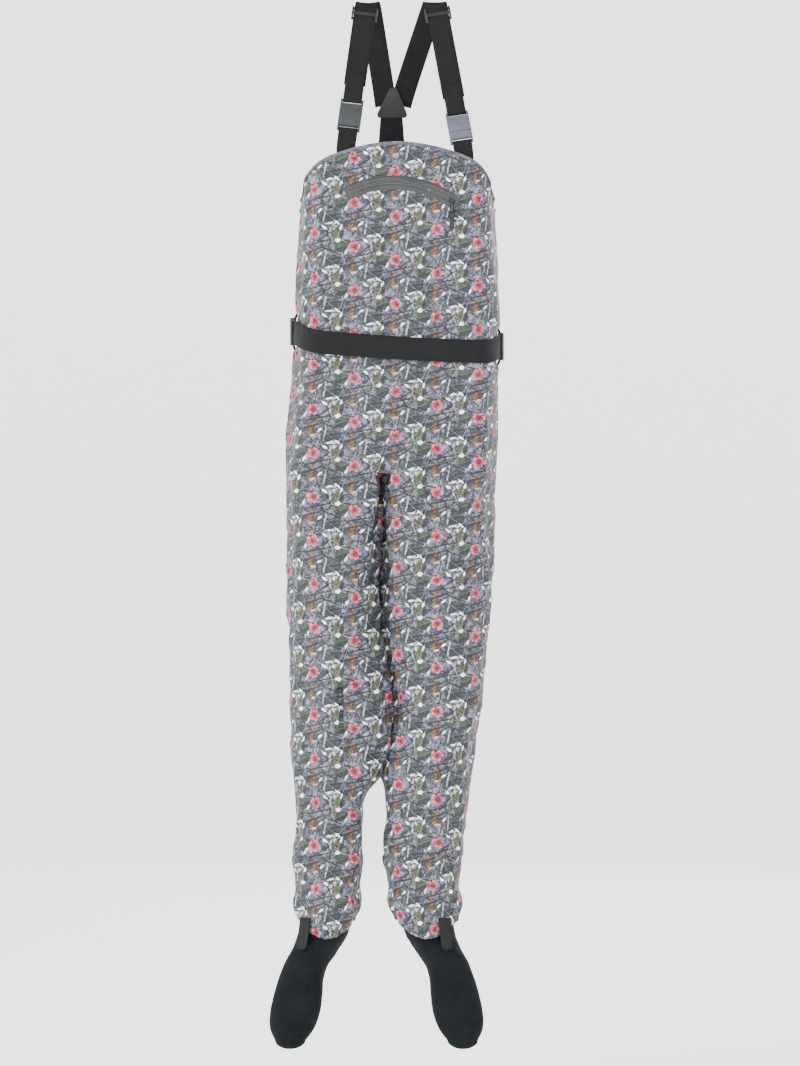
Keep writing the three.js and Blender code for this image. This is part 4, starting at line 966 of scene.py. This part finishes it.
def paint_print(tree, place):
    """The leaf-and-twig print on its lavender-grey ground."""
    drawn = wobble(tree, place, 0.16, 3.4)
    patches = noise_value(tree, place, 0.055, 3.0, 0.6)
    ground = blend_colour(tree, ranged(tree, patches, 0.38, 0.62), colour(104, 103, 116),
                          colour(158, 156, 172))
    smudge = noise_value(tree, wobble(tree, place, 0.04, 12.0), 0.085, 4.0, 0.62)
    ground = blend_colour(tree, ranged(tree, smudge, 0.5, 0.57), ground, colour(66, 74, 86))
    wash = noise_value(tree, place, 0.21, 3.0, 0.7, 1.2)
    ground = blend_colour(tree, ranged(tree, wash, 0.62, 0.7), ground, colour(186, 186, 196))
    shade = ground
    for row in LEAVES:
        leaf = stamp(tree, drawn, row[:6])
        light, dark = colour(*row[6]), colour(*row[7])
        skin = blend_colour(tree, leaf.outputs["Shade"], dark, light)
        skin = blend_colour(tree, times(tree, leaf.outputs["Vein"], row[8]), skin, colour(200, 198, 196))
        shade = blend_colour(tree, times(tree, leaf.outputs["Outline"], abs(row[9])), shade,
                             colour(32, 33, 40) if row[9] < 0 else colour(208, 208, 210))
        shade = blend_colour(tree, leaf.outputs["Mask"], shade, skin)
    for row in TWIGS:
        twig = stamp(tree, drawn, (*row, 0.45))
        bark = colour(30, 31, 38) if row[4] < 2 else colour(52, 56, 66)
        shade = blend_colour(tree, times(tree, twig.outputs["Mask"], 0.92), shade, bark)
    cells = cell_edges(tree, wobble(tree, place, 0.09, 15.0), 0.105)
    scribble = minus(tree, 1.0, ranged(tree, cells, 0.03, 0.085))
    broken = ranged(tree, noise_value(tree, place, 0.12, 2.0), 0.4, 0.5)
    shade = blend_colour(tree, times(tree, times(tree, scribble, broken), 0.85), shade,
                         colour(30, 31, 38))
    flower = use_group(tree, flower_group, Place=wobble(tree, place, 0.16, 9.0), Right=0.0, Up=0.0, Size=10.2)
    petal = blend_colour(tree, flower.outputs["Tips"], colour(184, 84, 102), colour(208, 156, 170))
    petal = blend_colour(tree, times(tree, flower.outputs["Petals"], 0.75), petal, colour(120, 44, 64))
    petal = blend_colour(tree, times(tree, flower.outputs["Heart"], 0.9), petal, colour(110, 30, 50))
    lines = times(tree, times(tree, scribble, broken), 0.7)
    petal = blend_colour(tree, lines, petal, colour(70, 34, 46))
    shade = blend_colour(tree, times(tree, flower.outputs["Mask"], 0.94), shade, petal)
    flecked = wobble(tree, place, 0.3, 5.0)
    for row in FLECKS:
        fleck = stamp(tree, flecked, (*row, 0.8))
        shade = blend_colour(tree, fleck.outputs["Mask"], shade, colour(214, 216, 220))
    grain = noise_value(tree, place, 1.4, 3.0, 0.7)
    return blend_colour(tree, ranged(tree, grain, 0.3, 0.7, 0.0, 0.24), shade, colour(58, 58, 66))


def camo_material():
    material, tree, shader = new_material("camo_laminate", 0.62, Specular_IOR_Level=0.28)
    place = cloth_place(tree)
    printed = paint_print(tree, place)
    put(tree, shader.inputs["Base Color"], printed)
    weave = use_group(tree, weave_group, Place=place, Across=2 * math.pi / 1.1, Down=2 * math.pi / 1.1)
    puckers = noise_value(tree, place, 0.11, 4.0, 0.6)
    height = plus(tree, times(tree, weave.outputs["Height"], 0.10), times(tree, puckers, 0.9))
    add_bump(tree, shader, height, 0.0011, 0.8)
    rough = ranged(tree, noise_value(tree, place, 0.3, 2.0), 0.3, 0.7, 0.52, 0.7)
    put(tree, shader.inputs["Roughness"], rough)
    return material


def build_scuffs():
    """Pale worn edges."""
    inputs = [("Color", RGBA, (0.1, 0.1, 0.1, 1)), ("Worn", RGBA, (0.2, 0.2, 0.2, 1)),
              ("Amount", FLOAT, 0.4), ("Spread", FLOAT, 0.1)]
    tree, start, end = new_group("Scuffs", inputs, [("Color", RGBA), ("Mask", FLOAT)])
    geometry = tree.nodes.new("ShaderNodeNewGeometry")
    place = object_place(tree)
    edge = ranged(tree, geometry.outputs["Pointiness"], 0.51, plus(tree, 0.53, start.outputs["Spread"]))
    speckle = ranged(tree, noise_value(tree, place, 0.35, 4.0, 0.7), 0.42, 0.66)
    mask = times(tree, times(tree, edge, speckle), start.outputs["Amount"])
    put(tree, end.inputs["Color"], blend_colour(tree, mask, start.outputs["Color"], start.outputs["Worn"]))
    put(tree, end.inputs["Mask"], mask)
    return tree


scuff_group = build_scuffs()


def plastic_material(name, base, roughness=0.42):
    material, tree, shader = new_material(name, roughness, Specular_IOR_Level=0.35)
    place = object_place(tree)
    tone = noise_value(tree, place, 0.12, 3.0)
    body = blend_colour(tree, ranged(tree, tone, 0.3, 0.7), base, toned(base, 1.22))
    scuffs = use_group(tree, scuff_group, Color=body, Worn=toned(base, 3, 0.03),
                       Amount=0.6)
    put(tree, shader.inputs["Base Color"], scuffs.outputs["Color"])
    grain = noise_value(tree, place, 3.2, 3.0, 0.6)
    put(tree, shader.inputs["Roughness"], ranged(tree, grain, 0.3, 0.7, roughness - 0.07, roughness + 0.1))
    add_bump(tree, shader, grain, 0.0001, 0.5)
    return material


def webbing_material(name, base, upright, pitch=1.7):
    """Woven webbing: ribs across its length."""
    material, tree, shader = new_material(name, 0.78, Specular_IOR_Level=0.14)
    place = object_place(tree)
    split = parts_of(tree, place)
    along, across = (split[2], split[0]) if upright else (split[0], split[2])
    if not upright:
        along = plus(tree, along, split[1])
    ribs = calc(tree, "ABSOLUTE", calc(tree, "SINE", times(tree, along, math.pi / pitch)))
    slant = plus(tree, times(tree, across, math.pi / 1.3), times(tree, along, math.pi / pitch))
    threads = calc(tree, "ABSOLUTE", calc(tree, "SINE", slant))
    height = plus(tree, times(tree, ribs, 0.65), times(tree, threads, 0.35))
    tone = noise_value(tree, place, 0.4, 4.0, 0.7)
    # painted shade: the low valleys between the ribs are coloured darker than the raised ribs
    thread = blend_colour(tree, ranged(tree, height, 0.15, 0.9), toned(base, 0.45), base)
    worn = ranged(tree, tone, 0.45, 0.75, 0.0, 0.5)
    put(tree, shader.inputs["Base Color"], blend_colour(tree, worn, thread, toned(base, 1.9)))
    fuzz = noise_value(tree, place, 2.6, 2.0)
    put(tree, shader.inputs["Roughness"], ranged(tree, fuzz, 0.3, 0.7, 0.68, 0.86))
    add_bump(tree, shader, plus(tree, height, times(tree, fuzz, 0.25)), 0.0004, 0.9)
    return material


def neoprene_material():
    """Neoprene faced with knitted nylon."""
    material, tree, shader = new_material("neoprene", 0.88, Specular_IOR_Level=0.1)
    place = object_place(tree)
    tone = noise_value(tree, place, 0.02, 4.0, 0.6)
    skin = blend_colour(tree, ranged(tree, tone, 0.3, 0.7), colour(13, 17, 20), colour(20, 25, 28))
    lint = ranged(tree, noise_value(tree, place, 1.1, 5.0, 0.8), 0.66, 0.74, 0.0, 0.3)
    put(tree, shader.inputs["Base Color"], blend_colour(tree, lint, skin, colour(62, 68, 72)))
    knit = use_group(tree, weave_group, Place=place, Across=2 * math.pi / 1.2, Down=2 * math.pi / 0.9)
    pebble = noise_value(tree, place, 0.8, 3.0)
    add_bump(tree, shader, plus(tree, times(tree, knit.outputs["Height"], 0.3), pebble), 0.0003, 0.5)
    put(tree, shader.inputs["Roughness"], ranged(tree, pebble, 0.3, 0.7, 0.82, 0.94))
    return material


def leather_material():
    """Grained synthetic leather with a worn sheen."""
    material, tree, shader = new_material("yoke_leather", 0.5, Specular_IOR_Level=0.3)
    place = object_place(tree)
    grain = ranged(tree, cell_edges(tree, place, 0.75), 0.0, 0.22)
    tone = noise_value(tree, place, 0.06, 3.0)
    hide = blend_colour(tree, ranged(tree, tone, 0.3, 0.7), colour(26, 28, 30), colour(40, 42, 45))
    scuffs = use_group(tree, scuff_group, Color=hide, Worn=colour(96, 98, 100), Amount=0.5)
    # painted shade: the creases of the grain are coloured darker, near black
    put(tree, shader.inputs["Base Color"], blend_colour(tree, ranged(tree, grain, 0.0, 0.5, 0.35, 0.0),
                                                        scuffs.outputs["Color"], colour(14, 14, 16)))
    put(tree, shader.inputs["Roughness"], ranged(tree, tone, 0.3, 0.7, 0.42, 0.6))
    add_bump(tree, shader, grain, 0.0003, 0.7)
    return material


def tape_material(name, dark, light, pitch=0.9, roughness=0.8):
    """Fine woven tape or tricot, with slightly uneven dye."""
    material, tree, shader = new_material(name, roughness, Specular_IOR_Level=0.2)
    place = object_place(tree)
    tone = noise_value(tree, place, 0.12, 4.0, 0.65)
    put(tree, shader.inputs["Base Color"], blend_colour(tree, ranged(tree, tone, 0.35, 0.65), dark, light))
    knit = use_group(tree, weave_group, Place=place, Across=2 * math.pi / pitch, Down=2 * math.pi / pitch)
    fuzz = noise_value(tree, place, 2.0, 2.0)
    add_bump(tree, shader, plus(tree, knit.outputs["Height"], fuzz), 0.0003, 0.6)
    put(tree, shader.inputs["Roughness"], ranged(tree, fuzz, 0.3, 0.7, roughness - 0.1, roughness + 0.08))
    return material


def zip_material(name, dark, light, roughness, coat):
    """Polyurethane film over the zip, rippled along its length."""
    material, tree, shader = new_material(name, roughness, Coat_Weight=coat, Coat_Roughness=0.12)
    place = object_place(tree)
    tone = noise_value(tree, place, 0.05, 4.0, 0.6)
    put(tree, shader.inputs["Base Color"], blend_colour(tree, ranged(tree, tone, 0.35, 0.65), dark, light))
    ripple = noise_value(tree, place, 0.22, 3.0, 0.55)
    fine = noise_value(tree, place, 1.6, 3.0)
    add_bump(tree, shader, plus(tree, ripple, times(tree, fine, 0.12)), 0.0005, 0.7)
    put(tree, shader.inputs["Roughness"], ranged(tree, fine, 0.3, 0.7, roughness - 0.06, roughness + 0.1))
    return material


CAMO = camo_material()
LINING = tape_material("lining_tricot", colour(84, 86, 92), colour(104, 106, 112), 1.3, 0.86)
NEOPRENE_SKIN = neoprene_material()
LEATHER = leather_material()
BRACE_WEB = webbing_material("brace_webbing", colour(24, 25, 27), True)
BELT_WEB = webbing_material("belt_webbing", colour(22, 23, 25), False, 1.9)
TAB_WEB = webbing_material("tab_webbing", colour(38, 40, 40), True, 1.3)
ELASTIC = webbing_material("hem_elastic", colour(30, 31, 33), True, 2.2)
EDGE_TAPE = tape_material("edge_tape", colour(92, 90, 98), colour(128, 126, 136), 0.8)
DARK_GREY = plastic_material("dark_grey_acetal", colour(58, 62, 64))
GREY = plastic_material("grey_acetal", colour(98, 101, 114))
BLACK = plastic_material("black_acetal", colour(24, 25, 27), 0.46)
RUBBER = plastic_material("pull_rubber", colour(22, 23, 24), 0.62)
ZIP_FILM = zip_material("zip_film", colour(26, 29, 30), colour(38, 42, 43), 0.4, 0.08)
ZIP_RIDGE = zip_material("zip_ridge", colour(20, 22, 23), colour(30, 33, 34), 0.2, 0.7)
CORD_BRAID = tape_material("cord_braid", colour(24, 24, 26), colour(44, 45, 48), 0.7)


# ---- Carried-over pieces: a merged copy of the node, with softened edges ----
def show(piece, material, node, body):
    piece.data.materials.clear()
    piece.data.materials.append(material)
    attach(piece, body)
    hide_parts(node)
    return piece


def copy_node(node, name):
    piece = bpy.data.objects.new(name, bpy.data.objects[node].data.copy())
    link(piece)
    edit_all(piece, bpy.ops.mesh.remove_doubles, threshold=0.02 * MM)
    edit_all(piece, bpy.ops.mesh.tris_convert_to_quads, face_threshold=math.radians(4),
             shape_threshold=math.radians(60))
    edit_all(piece, bpy.ops.mesh.normals_make_consistent, inside=False)
    return piece


def moulded(node, bevel=0.6, segments=3):
    """A moulded plastic piece: every edge rounded."""
    piece = copy_node(node, f"{node}_moulding")
    edit_all(piece, bpy.ops.mesh.dissolve_limited, angle_limit=math.radians(1.5))
    apply_modifier(piece, "BEVEL", width=bevel * MM, segments=segments, limit_method="ANGLE",
                   angle_limit=math.radians(32), use_clamp_overlap=True)
    smooth_shade(piece, 40)
    return piece


def woven(node, bends=2, edge=0.5):
    """Webbing: its bends made round, its selvedges softened."""
    piece = copy_node(node, f"{node}_webbing")
    mesh = piece.data
    crease = mesh.attributes.new("crease_edge", "FLOAT", "EDGE")
    work = bmesh.new()
    work.from_mesh(mesh)
    work.edges.ensure_lookup_table()
    sharp = [len(e.link_faces) == 2 and e.calc_face_angle(0) > math.radians(58) for e in work.edges]
    work.free()
    for index, is_sharp in enumerate(sharp):
        crease.data[index].value = 1.0 if is_sharp else 0.0
    apply_modifier(piece, "SUBSURF", levels=bends, render_levels=bends)
    apply_modifier(piece, "BEVEL", width=edge * MM, segments=2, limit_method="ANGLE",
                   angle_limit=math.radians(50), use_clamp_overlap=True)
    smooth_shade(piece, 45)
    return piece


NODE_BODY = {node: piece["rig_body"] for node, piece in frame["nodes"].items()}


def add_hardware():
    buckles = {"left": (DARK_GREY, "dark_grey_acetal"), "right": (GREY, "grey_acetal"),
               "belt": (BLACK, "black_acetal")}
    for name, (material, slot_name) in buckles.items():
        for part in ("male", "female", "left_prong", "right_prong"):
            node = f"{name}_buckle_{part}"
            piece = moulded(node, 0.5 if "prong" in part else 0.7)
            show(piece, material, node, NODE_BODY[node])
    for node in ("left_strap_adjuster", "right_strap_adjuster", "left_belt_slider", "right_belt_slider"):
        show(moulded(node, 0.7), BLACK, node, NODE_BODY[node])
    show(moulded("zip_slider", 0.35), BLACK, "zip_slider", NODE_BODY["zip_slider"])
    show(moulded("zip_pull_tab", 0.5), RUBBER, "zip_pull_tab", NODE_BODY["zip_pull_tab"])


def add_webbing():
    for side in ("left", "right"):
        for part in ("shoulder_strap", "strap_end_loop", "anchor_strap"):
            node = f"{side}_{part}"
            show(woven(node), BRACE_WEB, node, NODE_BODY[node])
        show(woven(f"{side}_belt_loop"), BELT_WEB, f"{side}_belt_loop", "root")
        show(woven(f"{side}_lace_tab", 1, 0.4), TAB_WEB, f"{side}_lace_tab", NODE_BODY[f"{side}_lace_tab"])
        show(moulded(f"{side}_anchor_patch", 0.4), LINING, f"{side}_anchor_patch", "root")
    show(woven("lower_back_strap"), BRACE_WEB, "lower_back_strap", "root")
    for node in ("belt_front", "belt_back_left", "belt_back_right", "belt_end_loop"):
        show(woven(node), BELT_WEB, node, NODE_BODY[node])
    for node in ("yoke_front_patch", "yoke_back_patch", "back_anchor_patch"):
        show(moulded(node, 0.45), LEATHER, node, "root")


# ---- The bib's edging: the cloth's own edge, bound with a narrow tape ----
def add_edging(face):
    name = "bib_front" if face < 0 else "bib_back"
    columns = 120
    path = []
    for c in range(columns + 1):
        top = trunk_top(face, c, columns)
        x, y = resample(dense_outline(trunk_section(0), face), [c / columns])[0]
        path.append((x, y, -top))
    shape = [(1.5, -4.2), (1.7, 0.5), (1.2, 1.5), (-0.8, 1.7), (-2.8, 1.5), (-3.3, 0.5), (-3.1, -4.2)]
    points, faces = [], []
    for i, (x, y, z) in enumerate(path):
        before, after = path[max(i - 1, 0)], path[min(i + 1, columns)]
        size = math.hypot(after[0] - before[0], after[1] - before[1])
        out_x, out_y = (after[1] - before[1]) / size, -(after[0] - before[0]) / size
        if face > 0:
            out_x, out_y = -out_x, -out_y
        push = drape(x, y, z)
        for out, up in shape:
            points.append((x + out_x * (out + push), y + out_y * (out + push), z + up))
    count = len(shape)
    for i in range(columns):
        for j in range(count - 1):
            a = i * count + j
            quad = [a, a + count, a + count + 1, a + 1]
            faces.append(quad if face < 0 else quad[::-1])
    piece = new_piece(f"{name}_edging", points, faces)
    edit_all(piece, bpy.ops.mesh.normals_make_consistent, inside=False)
    apply_modifier(piece, "SOLIDIFY", thickness=0.5 * MM, offset=-1)
    smooth_shade(piece, 50)
    return show(piece, EDGE_TAPE, f"{name}_binding", "root")


# ---- Zip: film band, a glossy ridge over the teeth, and the pocket's lining ----
def add_zip():
    show(moulded("zip_band", 0.35, 2), ZIP_FILM, "zip_band", "root")
    for half in ("upper", "lower"):
        show(moulded(f"zip_coil_{half}", 0.75, 4), ZIP_RIDGE, f"zip_coil_{half}", "root")
    add_zip_stitching()
    lining = copy_node("pocket_lining", "pocket_pouch")
    for vert in lining.data.vertices:
        vert.co.y += 4.5 * MM
    apply_modifier(lining, "SUBSURF", levels=2, render_levels=2)
    smooth_all(lining)
    show(lining, LINING, "pocket_lining", "root")


def add_zip_stitching():
    """Two rows of stitches along the band's edges, one stitch copied along its arc."""
    deselect()
    bpy.ops.mesh.primitive_cylinder_add(vertices=6, radius=STITCH_RADIUS * MM,
                                        depth=STITCH_LENGTH * MM)
    stitch = bpy.context.active_object
    stitch.name = "zip_stitching"
    edit_all(stitch, bpy.ops.mesh.bevel, offset=0.12 * MM, segments=1)
    work = bmesh.new()
    for radius in (ZIP_RADIUS - STITCH_ROW, ZIP_RADIUS + STITCH_ROW):
        count = int(math.radians(ZIP_LEFT - ZIP_RIGHT - 2) * radius / STITCH_PITCH)
        for i in range(count):
            angle = math.radians(mix(ZIP_RIGHT + 1, ZIP_LEFT - 1, i / (count - 1)))
            first = len(work.verts)
            work.from_mesh(stitch.data)
            work.verts.ensure_lookup_table()
            place = Vector((ZIP_X + radius * math.cos(angle), STITCH_Y,
                            radius * math.sin(angle) - ZIP_DROP)) * MM
            turn = Matrix.Rotation(-angle, 4, "Y")
            for vert in work.verts[first:]:
                vert.co = turn @ vert.co + place
    work.to_mesh(stitch.data)
    work.free()
    stitch.matrix_world = Matrix.Identity(4)
    smooth_all(stitch)
    stitch.data.materials.append(CORD_BRAID)
    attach(stitch, "root")


# ---- Studio: a round pale floor that sweeps up on every side, and soft light ----
def add_studio():
    paint, tree, shader = new_material("studio_paper", 0.9, Emission_Color=(1, 1, 1, 1),
                                       Emission_Strength=0.9)
    grain = noise_value(tree, object_place(tree), 0.02, 3.0)
    paper = blend_colour(tree, ranged(tree, grain, 0.3, 0.7), colour(250, 250, 250), colour(254, 254, 254))
    put(tree, shader.inputs["Base Color"], paper)
    profile = [(0.01, FLOOR), (4, FLOOR), (BOWL_FLAT, FLOOR)]
    for degrees in range(10, 91, 10):
        turn = math.radians(degrees)
        profile.append((BOWL_FLAT + BOWL_BEND * math.sin(turn), FLOOR + BOWL_BEND * (1 - math.cos(turn))))
    profile.append((BOWL_FLAT + BOWL_BEND, BOWL_RIM))
    sides = 64
    points = []
    for reach, z in profile:
        for i in range(sides):
            turn = 2 * math.pi * i / sides
            points.append((reach / MM * math.cos(turn), reach / MM * math.sin(turn), z / MM))
    faces = [face[::-1] for face in ring_faces(len(profile) - 1, sides)]
    sweep = new_piece("studio_sweep", points, faces)
    smooth_all(sweep)
    sweep.data.materials.append(paint)
    for name, place, size, power in (
            ("key_light", (-3.6, -2.2, 1.0), 1.5, 330), ("fill_light", (3.4, -3.0, 0.2), 2.6, 90),
            ("front_light", (0.2, -5.0, -1.2), 3.0, 60), ("back_light", (1.5, 5.0, 1.0), 3.0, 120)):
        lamp = bpy.data.lights.new(name, "AREA")
        lamp.energy, lamp.size = power, size
        holder = bpy.data.objects.new(name, lamp)
        holder.location = place
        holder.rotation_euler = (Vector((0, 0, -0.9)) - Vector(place)).to_track_quat("-Z", "Y").to_euler()
        link(holder)
    world = bpy.data.worlds.new("studio")
    bpy.context.scene.world = world
    world.use_nodes = True
    background = world.node_tree.nodes["Background"]
    background.inputs["Color"].default_value = (1, 1, 1, 1)
    background.inputs["Strength"].default_value = 0.6


# ---- Putting it together ----
for leg in LEGS:
    add_gaiter(leg)
    add_gaiter_elastic(leg)
    add_sock(leg)
add_body()
add_edging(-1)
add_edging(1)
add_hardware()
add_webbing()
add_zip()
zip_cord.data.materials.append(CORD_BRAID)
add_studio()
